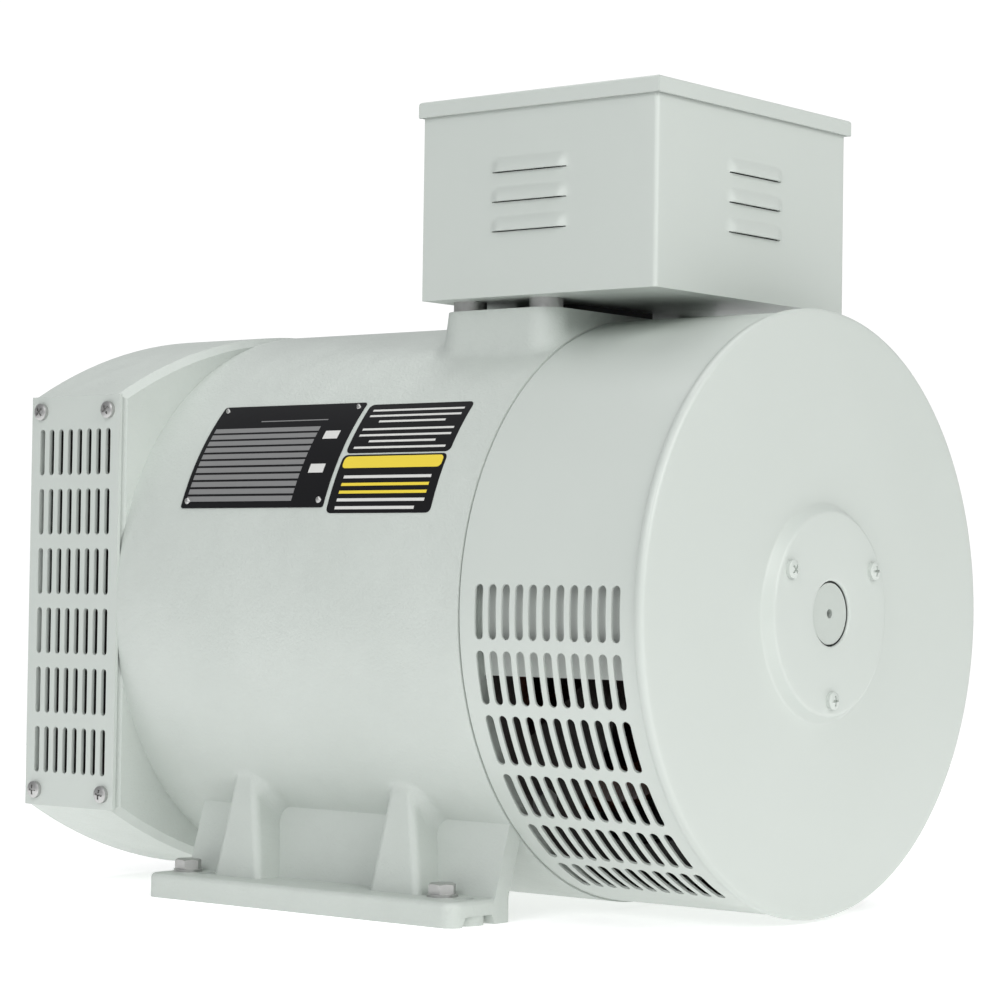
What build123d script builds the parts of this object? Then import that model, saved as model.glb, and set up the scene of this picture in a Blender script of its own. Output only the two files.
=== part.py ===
from build123d import *
from math import cos, radians, sin, sqrt
import os

# Foot-mounted, brush-excited alternator head. Millimetres, +Z up.
# The shaft lies along X: the drive shaft points to -X and the round rear cover faces +X.
# The origin is the centre of the four foot holes, on the plane that the feet stand on.

# --- Driving dimensions: main casing ---
SHAFT_HEIGHT = 160.0
BARREL_RADIUS = 157.5
BARREL_WALL = 8.0
BARREL_LENGTH = 239.0
BARREL_DRIVE_REACH = 137.0  # from the foot-hole centre to the barrel's drive-end face
SPIGOT_DEPTH = 5.0
SPIGOT_WALL = 5.0
SPIGOT_CLEARANCE = 0.1
SPIGOT_RELIEF = 0.5  # between a register's end and the ribs behind it

# --- Feet ---
FOOT_LENGTH = 218.0  # back from the barrel's rear face
FOOT_HALF_WIDTH = 158.0
FOOT_FLANGE = 45.0
FOOT_THICKNESS = 13.0
FOOT_ARCH_DEPTH = 5.0
FOOT_LIP = 8.0
FOOT_CORNER = 8.0
FOOT_EDGE = 2.5
FOOT_PAD_RADIUS = 10.5  # cast pad round each fixing hole, down to the foot plane
FOOT_WEB = 11.0
FOOT_WEB_LEAN = 14.0
HOLE_SPACING_X = 182.0
HOLE_SPACING_Y = 272.0
FOOT_HOLE_RADIUS = 5.5
GUSSET_X = (-64.0, 48.0)
GUSSET_BASE_WIDTH = 36.0
GUSSET_BASE_Y = 142.0
GUSSET_LEAN = 8.0  # crest towards the drive end
GUSSET_CREST_WIDTH = 13.0
GUSSET_CREST_Y = 127.0  # where the gusset's outer face runs out on the barrel
GUSSET_CREST_DEPTH = 17.0
GUSSET_EDGE = 4.0
GUSSET_FILLET = 7.0
GUSSET_SINK = 5.0  # gusset ends run this far into the foot and the barrel
WEB_BITE = 12.0  # webs run this far up into the barrel
FIT_SEARCH = 0.1  # how near an edge lies to a surface to count as on it

# --- Pedestal under the terminal box ---
PEDESTAL_LENGTH = 77.0
PEDESTAL_SETBACK = 3.5  # from the barrel's rear face
PEDESTAL_HALF_WIDTH = 80.0
PEDESTAL_LAND = 1.5  # flat top above the barrel's crown
PEDESTAL_DRAFT = 7.0
PEDESTAL_CORNER = 14.0
PEDESTAL_FILLET = 10.0
LEAD_PASSAGE_LENGTH = 34.0
LEAD_PASSAGE_WIDTH = 60.0

# --- Stator and rotor ---
CORE_RADIUS = 130.0
CORE_LENGTH = 150.0
CORE_CENTRE_X = -17.0
STATOR_BORE = 85.0
STATOR_SLOTS = 36
STATOR_SLOT_WIDTH = 8.0
STATOR_SLOT_DEPTH = 22.0
WINDING_CLEARANCE = 0.4
WINDING_OVERHANG = 32.0
WINDING_THICKNESS = 24.0
CORE_RIB_WIDTH = 18.0
LUG_WIDTH = 28.0
AIR_GAP = 1.0
POLES = 4
POLE_BODY_WIDTH = 50.0
POLE_SHOE_ANGLE = 62.0
POLE_SHOE_DEPTH = 15.0
YOKE_RADIUS = 45.0
COIL_THICKNESS = 13.0
COIL_CLEARANCE = 0.5

# --- Shaft ---
SHAFT_END_RADIUS = 19.0
SHAFT_END_LENGTH = 80.0
SHAFT_SHOULDER = 6.0  # drive journal left between the bearing cap and the shaft end's shoulder
SHAFT_BODY_RADIUS = 25.0
DRIVE_JOURNAL_RADIUS = 22.5
REAR_JOURNAL_RADIUS = 20.0
SHAFT_TAIL_RADIUS = 16.0
SHAFT_TAIL_RECESS = 1.5  # behind the face of the rear boss
KEYWAY_WIDTH = 10.0
KEYWAY_DEPTH = 5.0
KEYWAY_LENGTH = 60.0
KEYWAY_START = 6.0  # from the shaft's end
CENTRE_DRILL_RADIUS = 2.5
CENTRE_DRILL_DEPTH = 9.0

# --- Bearings ---
DRIVE_BEARING_RADIUS = 50.0
DRIVE_BEARING_WIDTH = 25.0
REAR_BEARING_RADIUS = 40.0
REAR_BEARING_WIDTH = 18.0
RACE_THICKNESS = 7.0
SHIELD_THICKNESS = 1.5
SHIELD_CLEARANCE = 0.4

# --- Drive-end bracket ---
BRACKET_DEPTH = 71.0
BRACKET_SHOULDER = 6.0
BRACKET_ARC_RADIUS = 307.0
BRACKET_WALL = 7.0
BRACKET_EDGE = 4.0
HUB_WALL = 12.0
HUB_DEPTH = 34.0
BEARING_CAP_THICKNESS = 6.0
BEARING_CAP_OVERLAP = 9.0
HUB_RIB_THICKNESS = 8.0
COLUMN_RADIUS = 12.0
REGISTER_PAD_RADIUS = 9.0

# --- Vent plates ---
VENT_PLATE = 2.0
VENT_SLOT_WIDTH = 3.9
VENT_SLOT_HEIGHT = 26.0
VENT_SLOT_PITCH_X = 7.6
VENT_SLOT_PITCH_Z = 33.5
VENT_COLUMNS = 8
VENT_ROWS = 6
VENT_PLATE_EDGE = 8.5
VENT_WINDOW_LAND = 15.0

# --- Cooling fan ---
FAN_RADIUS = 118.0
FAN_EYE_RADIUS = 62.0
FAN_DEPTH = 36.0
FAN_PLATE = 4.0
FAN_BLADES = 10
FAN_BLADE_THICKNESS = 4.0
FAN_BLADE_SWEEP = 25.0
FAN_HUB_RADIUS = 36.0
FAN_CLEARANCE = 4.0

# --- Rear bracket and rear cover ---
REAR_PLATE = 9.0
REAR_HUB_WALL = 14.0
REAR_HUB_LENGTH = 24.0
REAR_WINDOW_OUTER = 126.0
REAR_WINDOW_ANGLE = 62.0
SHELL_STEP = 0.8  # drum sheet inside the barrel's outline
SHELL_SHEET = 1.2
DRUM_LENGTH = 115.0  # seam to the flat face of the end cap
CAP_SHEET = 1.5
CAP_FLANGE = 5.0
CAP_CORNER = 2.5
CAP_BOSS_RADIUS = 56.0
CAP_BOSS_RISE = 6.0
CAP_BOSS_SLOPE = 4.0
CAP_HOLE_RADIUS = 17.0
CAP_SCREW_RADIUS = 45.0  # of the circle through the screws
POST_RADIUS = 5.5
DRUM_SLOT_WIDTH = 5.2
DRUM_SLOT_ANGLE = 10.2
DRUM_SLOT_PITCH_X = 8.5
DRUM_SLOT_PITCH_ANGLE = 12.2
DRUM_SLOT_TOP_ANGLE = 4.7
DRUM_COLUMNS = 11
DRUM_ROWS = 6
DRUM_SLOT_MARGIN = 10.5  # from the seam to the first slot
BAFFLE_SHEET = 1.0
BAFFLE_GAP = 6.0
BAFFLE_END_GAP = 9.0
BAFFLE_DROP = 33.0  # lower edge of the baffle below the shaft axis

# --- Slip rings and brush gear ---
SLEEVE_RADIUS = 22.0
SLEEVE_OVERRUN = 5.0
RING_RADIUS = 30.0
RING_WIDTH = 14.0
RING_PITCH = 20.0
RING_START = 9.0  # from the rear hub to the first slip ring
BRUSH_LENGTH_X = 11.0
BRUSH_WIDTH = 16.0
BRUSH_HEIGHT = 26.0
BRUSH_GAP = 0.1
BRUSH_FIT = 0.3
BRUSH_TRAVEL = 10.0
HOLDER_HALF_WIDTH = 20.0
HOLDER_LIFT = 4.0  # holder above the slip rings
HOLDER_ROOF = 4.0
SPRING_STRIP = 0.8
SPRING_FOLDS = 5
SPRING_HEIGHT = 16.0

# --- Terminal box ---
BOX_LENGTH = 155.0
BOX_WIDTH = 177.0
BOX_HEIGHT = 106.0
BOX_SHEET = 1.5
BOX_LIFT = 5.6  # spacers between the pedestal and the box floor
BOX_REAR_OVERHANG = 70.0  # beyond the barrel's rear face
LID_SKIRT = 8.5
LID_CLEARANCE = 1.0
LID_TAB = 18.0
LID_SCREW_INSET = 9.0
LID_SCREW_SPAN = 110.0
BOX_BOLT_SPACING_X = 52.0
BOX_BOLT_SPACING_Y = 136.0
SPACER_RADIUS = 9.0
LOUVRE_LENGTH = 53.0
LOUVRE_SHIFT = 5.0  # side louvres towards the drive end
LOUVRE_HEIGHT = 6.0
LOUVRE_RISE = 2.6
LOUVRE_PITCH = 15.7
LOUVRE_COUNT = 3
LOUVRE_TOP = 41.5  # first louvre's lip below the lid top
LOUVRE_MOUTH = 2.0
CABLE_HOLE_RADIUS = 14.0
CABLE_BORE_RADIUS = 10.0
CABLE_BUSH_LENGTH = 9.0
CABLE_BUSH_FLANGE = 3.0
CABLE_HEIGHT = 30.0  # above the box floor
BOARD_LENGTH = 60.0
BOARD_WIDTH = 96.0
BOARD_THICKNESS = 10.0
STUD_COUNT = 5
STUD_PITCH = 18.0
STUD_RADIUS = 2.5
STUD_HEIGHT = 18.0
NUT_FLATS = 8.0
NUT_HEIGHT = 4.0
REGULATOR_SIZE = (22.0, 86.0, 52.0)
REGULATOR_DROP = 4.0  # below the lid tabs

# --- Fasteners: shank radius, head size across flats or head radius, head height ---
M4 = (2.0, 3.6, 2.6)
M5 = (2.5, 4.7, 3.2)
M8 = (4.0, 13.0, 5.3)
FOOT_BOLT_LENGTH = 12.0
FOOT_BOLT_OFFSET = 14.0  # from the foot hole towards the drive end
WASHER_RADIUS = 8.0
WASHER_THICKNESS = 1.6
TIE_BOLT_ENGAGEMENT = 18.0
REAR_BOLT_LENGTH = 26.0
SCREW_ENGAGEMENT = 7.0

# --- Stations along the shaft and shared sizes worked out from the above ---
BARREL_BORE = BARREL_RADIUS - BARREL_WALL
SHELL_RADIUS = BARREL_RADIUS - SHELL_STEP
BRACKET_HALF_WIDTH = BARREL_RADIUS - VENT_PLATE
DRIVE_FACE_X = -BARREL_DRIVE_REACH
REAR_FACE_X = BARREL_LENGTH - BARREL_DRIVE_REACH
BRACKET_BACK_X = DRIVE_FACE_X - BRACKET_SHOULDER
BRACKET_FRONT_X = BRACKET_BACK_X - BRACKET_DEPTH
CAP_FACE_X = REAR_FACE_X + DRUM_LENGTH
CAP_BOSS_X = CAP_FACE_X + CAP_BOSS_RISE
CORE_START_X = CORE_CENTRE_X - CORE_LENGTH / 2
CORE_END_X = CORE_CENTRE_X + CORE_LENGTH / 2
BOLT_CIRCLE = (CORE_RADIUS + BARREL_BORE) / 2
BRACKET_ARC_DROP = BRACKET_ARC_RADIUS - BARREL_RADIUS
BRACKET_CORNER_Z = sqrt(BRACKET_ARC_RADIUS**2 - BRACKET_HALF_WIDTH**2) - BRACKET_ARC_DROP
VENT_CENTRE_X = BRACKET_FRONT_X + BRACKET_DEPTH / 2
REAR_HUB_X = REAR_FACE_X + REAR_HUB_LENGTH
RING_X = (REAR_HUB_X + RING_START, REAR_HUB_X + RING_START + RING_PITCH)
FOOT_INNER = FOOT_HALF_WIDTH - FOOT_FLANGE
PEDESTAL_Z = SHAFT_HEIGHT + BARREL_RADIUS + PEDESTAL_LAND
BOX_FLOOR_Z = PEDESTAL_Z + BOX_LIFT
BOX_END_X = REAR_FACE_X + BOX_REAR_OVERHANG
BOX_START_X = BOX_END_X - BOX_LENGTH
BOX_CENTRE_X = BOX_END_X - BOX_LENGTH / 2
BOX_TOP_Z = BOX_FLOOR_Z + BOX_HEIGHT
PEDESTAL_CENTRE_X = REAR_FACE_X - PEDESTAL_SETBACK - PEDESTAL_LENGTH / 2


# --- Shared construction helpers ---
def station(x, y=0.0, z=0.0):
    """A plane across the shaft at x, centred y and z from the shaft axis, facing +X."""
    return Plane(origin=(x, y, SHAFT_HEIGHT + z), x_dir=(0, 1, 0), z_dir=(1, 0, 0))


def along_shaft(face, x_from, x_to):
    """Extrude a face drawn as (y, z) about the shaft axis from one station to another."""
    return extrude(station(x_from) * face, amount=x_to - x_from)


def disc(radius, x_from, x_to):
    return along_shaft(Circle(radius), x_from, x_to)


def ring(outer, inner, x_from, x_to):
    return along_shaft(Circle(outer) - Circle(inner), x_from, x_to)


def block(x_from, x_to, y_from, y_to, z_from, z_to):
    """A box between two corners, with z measured from the foot plane."""
    size = (x_to - x_from, y_to - y_from, z_to - z_from)
    return Pos(x_from, y_from, z_from) * Box(*size, align=(Align.MIN, Align.MIN, Align.MIN))


def sector(outer, inner, angle):
    """A ring sector centred on the local Y axis, as a face."""
    half = radians(angle / 2)
    lead, trail = (sin(half), cos(half)), (-sin(half), cos(half))
    edges = [
        ThreePointArc(*[(outer * x, outer * y) for x, y in (trail, (0, 1), lead)]),
        Line((outer * lead[0], outer * lead[1]), (inner * lead[0], inner * lead[1])),
        ThreePointArc(*[(inner * x, inner * y) for x, y in (lead, (0, 1), trail)]),
        Line((inner * trail[0], inner * trail[1]), (outer * trail[0], outer * trail[1])),
    ]
    return make_face(edges)


def both_sides(shape):
    """The shape and its mirror image across the upright plane through the shaft."""
    return shape + mirror(shape, Plane.XZ)


def screw(size, length, outward, at):
    """A round-headed screw seated at a point, its head standing along the outward direction."""
    shank, head, height = size
    body = Cylinder(head, height, align=(Align.CENTER, Align.CENTER, Align.MIN))
    body += Pos(0, 0, -length) * Cylinder(shank, length, align=(Align.CENTER, Align.CENTER, Align.MIN))
    return Plane(origin=at, z_dir=outward) * body


def hex_bolt(size, length, outward, at):
    """A hexagon-headed bolt seated at a point, its head standing along the outward direction."""
    shank, across_flats, height = size
    body = extrude(RegularPolygon(across_flats / 2, 6, major_radius=False), amount=height)
    body += Pos(0, 0, -length) * Cylinder(shank, length, align=(Align.CENTER, Align.CENTER, Align.MIN))
    return Plane(origin=at, z_dir=outward) * body


def polar_points(radius, count, start):
    """Points (y, z) from the shaft axis, evenly spaced round a circle."""
    angles = [radians(start + 360 * i / count) for i in range(count)]
    return [(radius * cos(a), radius * sin(a)) for a in angles]


def drilled(shape, radius, points, x_from, x_to):
    """The shape with holes along the shaft at the (y, z) points."""
    holes = [extrude(station(x_from, y, z) * Circle(radius), amount=x_to - x_from) for y, z in points]
    return shape - holes


def foot_hole_points():
    return [(x, y) for x in (-HOLE_SPACING_X / 2, HOLE_SPACING_X / 2)
            for y in (-HOLE_SPACING_Y / 2, HOLE_SPACING_Y / 2)]


def foot_bolt_points():
    return [(x - FOOT_BOLT_OFFSET, y) for x, y in foot_hole_points()]


def box_bolt_points():
    return [(PEDESTAL_CENTRE_X + x, y) for x in (-BOX_BOLT_SPACING_X / 2, BOX_BOLT_SPACING_X / 2)
            for y in (-BOX_BOLT_SPACING_Y / 2, BOX_BOLT_SPACING_Y / 2)]


def lid_screw_points():
    half = BOX_LENGTH / 2 - LID_SCREW_INSET
    return [(BOX_CENTRE_X + x, y) for x in (-half, half) for y in (-LID_SCREW_SPAN / 2, LID_SCREW_SPAN / 2)]


CORNER_BOLTS = polar_points(BOLT_CIRCLE, 4, 45)
CAP_SCREWS = polar_points(CAP_SCREW_RADIUS, 3, 30)
BEARING_CAP_SCREWS = polar_points(DRIVE_BEARING_RADIUS + HUB_WALL / 2, 4, 45)


# --- Cast stator frame: barrel, feet and pedestal in one casting ---
def barrel_underside(y):
    """Height of the barrel's outside above the foot plane, at a distance y from the middle."""
    return SHAFT_HEIGHT - sqrt(BARREL_RADIUS**2 - y**2)


def on_barrel(edge):
    """Whether an edge lies in the barrel's outside, between its two end faces."""
    for point in (edge @ 0.1, edge @ 0.5, edge @ 0.9):
        radius = sqrt(point.Y**2 + (point.Z - SHAFT_HEIGHT) ** 2)
        inside = DRIVE_FACE_X + FIT_SEARCH < point.X < REAR_FACE_X - FIT_SEARCH
        if abs(radius - BARREL_RADIUS) > FIT_SEARCH or not inside:
            return False
    return True


def foot_rail():
    """One foot on the -Y side: an arched rail with a leaning web up to the barrel."""
    outer, inner = -FOOT_HALF_WIDTH, -FOOT_INNER
    web_foot = inner - FOOT_WEB
    web_top = barrel_underside(-web_foot - FOOT_WEB_LEAN) + WEB_BITE
    arch_in, arch_out = web_foot, outer + FOOT_LIP
    half_arch = FOOT_ARCH_DEPTH / 2
    profile = Polyline(
        (outer, 0), (outer, FOOT_THICKNESS), (web_foot, FOOT_THICKNESS),
        (web_foot + FOOT_WEB_LEAN, web_top), (inner + FOOT_WEB_LEAN, web_top),
        (inner, FOOT_THICKNESS), (inner, 0), (arch_in, 0),
        (arch_in - half_arch, FOOT_ARCH_DEPTH), (arch_out + half_arch, FOOT_ARCH_DEPTH),
        (arch_out, 0), close=True)
    plane = Plane(origin=(REAR_FACE_X - FOOT_LENGTH, 0, 0), x_dir=(0, 1, 0), z_dir=(1, 0, 0))
    rail = extrude(plane * make_face(profile), amount=FOOT_LENGTH)
    corners = rail.edges().filter_by(Axis.Z).filter_by(lambda e: e.center().Y < outer + FOOT_EDGE)
    rail = fillet(corners, FOOT_CORNER)
    rims = rail.edges().filter_by(lambda e: abs((e @ 0.5).Z - FOOT_THICKNESS) < FIT_SEARCH)
    rail = fillet(rims.filter_by(lambda e: (e @ 0.5).Y < outer + FOOT_CORNER), FOOT_EDGE)
    for x, y in foot_hole_points():
        if y < 0:
            rail += Pos(x, y, FOOT_ARCH_DEPTH / 2) * Cylinder(FOOT_PAD_RADIUS, FOOT_ARCH_DEPTH)
    return rail


def gusset(x):
    """A drafted buttress on the -Y side, from the foot's top face up to the barrel."""
    base_outer, base_inner = -GUSSET_BASE_Y, -FOOT_INNER
    base = Plane((x, (base_outer + base_inner) / 2, FOOT_THICKNESS - GUSSET_SINK))
    crest_z = barrel_underside(GUSSET_CREST_Y) + GUSSET_SINK
    crest = Plane((x - GUSSET_LEAN, -GUSSET_CREST_Y + GUSSET_CREST_DEPTH / 2, crest_z))
    return loft([
        base * RectangleRounded(GUSSET_BASE_WIDTH, base_inner - base_outer, GUSSET_EDGE),
        crest * RectangleRounded(GUSSET_CREST_WIDTH, GUSSET_CREST_DEPTH, GUSSET_EDGE)])


def pedestal():
    """The drafted block on the barrel that carries the terminal box."""
    top = Plane(origin=(PEDESTAL_CENTRE_X, 0, PEDESTAL_Z))
    face = top * RectangleRounded(PEDESTAL_LENGTH, 2 * PEDESTAL_HALF_WIDTH, PEDESTAL_CORNER)
    body = extrude(face, amount=-PEDESTAL_HALF_WIDTH, taper=-PEDESTAL_DRAFT)
    return body & block(DRIVE_FACE_X, REAR_FACE_X, -BARREL_RADIUS, BARREL_RADIUS, SHAFT_HEIGHT, PEDESTAL_Z)


def radial_rib(angle, width, x_from, x_to):
    """A rib inside the barrel, from the stator core out into the barrel wall."""
    reach = BARREL_BORE + BARREL_WALL / 2
    face = Pos(0, (CORE_RADIUS + reach) / 2) * Rectangle(width, reach - CORE_RADIUS)
    return along_shaft(Rot(0, 0, angle) * face, x_from, x_to) - disc(CORE_RADIUS, x_from, x_to)


def stator_frame():
    """Barrel with its pedestal, feet and gussets run in with cast fillets, bored and drilled."""
    body = disc(BARREL_RADIUS, DRIVE_FACE_X, REAR_FACE_X) + pedestal()
    body = fillet(body.edges().filter_by(on_barrel), PEDESTAL_FILLET)
    body &= block(DRIVE_FACE_X, REAR_FACE_X, -BARREL_RADIUS, BARREL_RADIUS, 0, PEDESTAL_Z)
    for x in GUSSET_X:
        body += both_sides(gusset(x))
    crests = body.edges().filter_by(on_barrel).filter_by(lambda e: (e @ 0.5).Z < SHAFT_HEIGHT)
    body = fillet(crests, GUSSET_FILLET) + both_sides(foot_rail())
    body -= disc(BARREL_BORE, DRIVE_FACE_X - 1, REAR_FACE_X + 1)
    for i in range(4):
        body += radial_rib(45 + 90 * i, LUG_WIDTH, DRIVE_FACE_X + SPIGOT_DEPTH, REAR_FACE_X - SPIGOT_DEPTH)
        body += radial_rib(90 * i, CORE_RIB_WIDTH, CORE_START_X, CORE_END_X)
    drive_depth = DRIVE_FACE_X + SPIGOT_DEPTH + TIE_BOLT_ENGAGEMENT
    body = drilled(body, M8[0], CORNER_BOLTS, DRIVE_FACE_X, drive_depth)
    body = drilled(body, M8[0], CORNER_BOLTS, REAR_FACE_X + REAR_PLATE - REAR_BOLT_LENGTH, REAR_FACE_X)
    for x, y in foot_hole_points():
        body -= Pos(x, y, 0) * Cylinder(FOOT_HOLE_RADIUS, 3 * FOOT_THICKNESS)
    for x, y in foot_bolt_points():
        body -= Pos(x, y, 0) * Cylinder(M8[0], 3 * FOOT_THICKNESS)
    passage = Box(LEAD_PASSAGE_LENGTH, LEAD_PASSAGE_WIDTH, 2 * (PEDESTAL_Z - SHAFT_HEIGHT - CORE_RADIUS))
    body -= Pos(PEDESTAL_CENTRE_X, 0, PEDESTAL_Z) * passage
    for x, y in box_bolt_points():
        body -= Pos(x, y, PEDESTAL_Z) * Cylinder(M5[0], 2 * SCREW_ENGAGEMENT)
    return body


def foot_bolts():
    seat = FOOT_THICKNESS + WASHER_THICKNESS
    return [hex_bolt(M8, FOOT_BOLT_LENGTH, (0, 0, 1), (x, y, seat)) for x, y in foot_bolt_points()]


def foot_washers():
    washer = Cylinder(WASHER_RADIUS, WASHER_THICKNESS) - Cylinder(M8[0], WASHER_THICKNESS)
    return [Pos(x, y, FOOT_THICKNESS + WASHER_THICKNESS / 2) * washer for x, y in foot_bolt_points()]


# --- Stator: slotted core with its winding ---
def stator_core():
    section = Circle(CORE_RADIUS) - Circle(STATOR_BORE)
    slot = Rectangle(STATOR_SLOT_WIDTH, STATOR_SLOT_DEPTH + 2)
    slot = Pos(0, STATOR_BORE + STATOR_SLOT_DEPTH / 2 - 1) * slot
    section -= [Rot(0, 0, 360 * i / STATOR_SLOTS) * slot for i in range(STATOR_SLOTS)]
    return along_shaft(section, CORE_START_X, CORE_END_X)


def stator_windings():
    """Coil sides in every slot, joined by the two rounded end turns, drawn about X and then raised."""
    width = STATOR_SLOT_WIDTH - 2 * WINDING_CLEARANCE
    inner = STATOR_BORE + 3 * WINDING_CLEARANCE
    depth = STATOR_SLOT_DEPTH - 4 * WINDING_CLEARANCE
    outer = inner + WINDING_THICKNESS
    start = CORE_START_X - WINDING_CLEARANCE
    end = CORE_END_X + WINDING_CLEARANCE
    side = Pos(0, inner + depth / 2) * Rectangle(width, depth)
    sides = [Rot(0, 0, 360 * i / STATOR_SLOTS) * side for i in range(STATOR_SLOTS)]
    across = Plane(origin=(start - WINDING_CLEARANCE, 0, 0), x_dir=(0, 1, 0), z_dir=(1, 0, 0))
    body = extrude(across * (Sketch() + sides), amount=end - start + 2 * WINDING_CLEARANCE)
    for face_x, way in ((start, -1), (end, 1)):
        face = Plane(origin=(face_x, 0, 0), x_dir=(0, 1, 0), z_dir=(way, 0, 0))
        turn = extrude(face * (Circle(outer) - Circle(inner)), amount=WINDING_OVERHANG)
        rim = turn.faces().sort_by(Axis.X)[-1 if way > 0 else 0].edges()
        body += chamfer(rim, WINDING_THICKNESS / 4)
    return Pos(0, 0, SHAFT_HEIGHT) * body


# --- Rotor ---
def rotor_core():
    """Salient-pole core: a yoke on the shaft with four poles and their curved shoes."""
    radius = STATOR_BORE - AIR_GAP
    shoe_root = radius - POLE_SHOE_DEPTH
    pole = Pos(0, radius / 2) * Rectangle(POLE_BODY_WIDTH, radius) & Circle(radius)
    pole += sector(radius, shoe_root, POLE_SHOE_ANGLE)
    section = Circle(YOKE_RADIUS) + [Rot(0, 0, 360 * i / POLES) * pole for i in range(POLES)]
    section -= Circle(SHAFT_BODY_RADIUS)
    return along_shaft(section, CORE_START_X, CORE_END_X)


def field_coils():
    """One racetrack coil round each pole body, held under the pole shoe."""
    shoe_root = STATOR_BORE - AIR_GAP - POLE_SHOE_DEPTH
    start = YOKE_RADIUS + COIL_CLEARANCE
    height = (shoe_root - COIL_CLEARANCE) * cos(radians(POLE_SHOE_ANGLE / 2)) - start
    hole_y = POLE_BODY_WIDTH + 2 * COIL_CLEARANCE
    hole_x = CORE_LENGTH + 2 * COIL_CLEARANCE
    outline = RectangleRounded(hole_x + 2 * COIL_THICKNESS, hole_y + 2 * COIL_THICKNESS, COIL_THICKNESS)
    coil = extrude(Plane((CORE_CENTRE_X, 0, start)) * (outline - Rectangle(hole_x, hole_y)), amount=height)
    return [Pos(0, 0, SHAFT_HEIGHT) * (Rot(360 * i / POLES, 0, 0) * coil) for i in range(POLES)]


def shaft_stations():
    """The steps of the shaft, as (radius, from, to), from the drive end to the rear."""
    seat_start = BRACKET_FRONT_X
    drive_seat_end = seat_start + DRIVE_BEARING_WIDTH
    end_start = BRACKET_FRONT_X - BEARING_CAP_THICKNESS - SHAFT_SHOULDER
    rear_seat_end = REAR_HUB_X
    rear_seat_start = rear_seat_end - REAR_BEARING_WIDTH
    return [
        (SHAFT_END_RADIUS, end_start - SHAFT_END_LENGTH, end_start),
        (DRIVE_JOURNAL_RADIUS, end_start, drive_seat_end),
        (SHAFT_BODY_RADIUS, drive_seat_end, rear_seat_start),
        (REAR_JOURNAL_RADIUS, rear_seat_start, rear_seat_end),
        (SHAFT_TAIL_RADIUS, rear_seat_end, CAP_BOSS_X - SHAFT_TAIL_RECESS),
    ]


def shaft():
    steps = shaft_stations()
    body = Part() + [disc(radius, x_from, x_to) for radius, x_from, x_to in steps]
    tip, tail = steps[0][1], steps[-1][2]
    rim = body.edges().filter_by(GeomType.CIRCLE).filter_by(lambda e: abs(e.center().X - tip) < 0.1)
    body = chamfer(rim, 1.5)
    centre = (tip + KEYWAY_START + KEYWAY_LENGTH / 2, SHAFT_END_RADIUS, SHAFT_HEIGHT)
    keyway = Plane(centre, x_dir=(1, 0, 0), z_dir=(0, 1, 0))
    body -= extrude(keyway * SlotOverall(KEYWAY_LENGTH, KEYWAY_WIDTH), amount=KEYWAY_DEPTH, both=True)
    body -= disc(CENTRE_DRILL_RADIUS, tip - 1, tip + CENTRE_DRILL_DEPTH)
    body -= disc(CENTRE_DRILL_RADIUS, tail - CENTRE_DRILL_DEPTH, tail + 1)
    return body


def bearing(outer, bore, x_from, width):
    """A shielded ball bearing as its outer race with both shields, and its inner race."""
    race_out = ring(outer, outer - RACE_THICKNESS, x_from, x_from + width)
    shield_bore = bore + RACE_THICKNESS + SHIELD_CLEARANCE
    for x in (x_from + 0.5, x_from + width - 0.5 - SHIELD_THICKNESS):
        race_out += ring(outer - RACE_THICKNESS + 1, shield_bore, x, x + SHIELD_THICKNESS)
    return race_out, ring(bore + RACE_THICKNESS, bore, x_from, x_from + width)


def fan_blade():
    """One backward-curved blade as a face, from the fan's eye to its rim."""
    sweep = radians(FAN_BLADE_SWEEP)
    bow = FAN_BLADE_THICKNESS * 2
    tip_x, tip_y = FAN_RADIUS * sin(sweep), FAN_RADIUS * cos(sweep)
    mid_x, mid_y = tip_x / 2 - bow, (FAN_EYE_RADIUS + tip_y) / 2
    thick = FAN_BLADE_THICKNESS
    front = ThreePointArc((0, FAN_EYE_RADIUS), (mid_x, mid_y), (tip_x, tip_y))
    back = ThreePointArc((tip_x - thick, tip_y), (mid_x - thick, mid_y), (-thick, FAN_EYE_RADIUS))
    ends = [Line(front @ 1, back @ 0), Line(back @ 1, front @ 0)]
    return make_face([front, back, *ends])


def cooling_fan():
    """Radial fan: a back plate and hub with curved blades that throw air out sideways."""
    start = BRACKET_FRONT_X + HUB_DEPTH + FAN_CLEARANCE
    end = start + FAN_DEPTH - FAN_CLEARANCE
    body = disc(FAN_RADIUS, start, start + FAN_PLATE) + disc(FAN_HUB_RADIUS, start, end)
    for i in range(FAN_BLADES):
        body += along_shaft(Rot(0, 0, 360 * i / FAN_BLADES) * fan_blade(), start + FAN_PLATE, end)
    return body - disc(SHAFT_BODY_RADIUS, start - 1, end + 1)


# --- Drive-end bracket with its vent plates ---
def bracket_section(inset=0.0):
    """Flat-sided outline with shallow arcs above and below, as a face about the shaft axis."""
    half = BRACKET_HALF_WIDTH - inset
    crown = BARREL_RADIUS - inset
    radius = BRACKET_ARC_RADIUS - inset
    corner = sqrt(radius**2 - half**2) - (radius - crown)
    edges = [
        ThreePointArc((-half, corner), (0, crown), (half, corner)),
        Line((half, corner), (half, -corner)),
        ThreePointArc((half, -corner), (0, -crown), (-half, -corner)),
        Line((-half, -corner), (-half, corner)),
    ]
    return make_face(edges)


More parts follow.
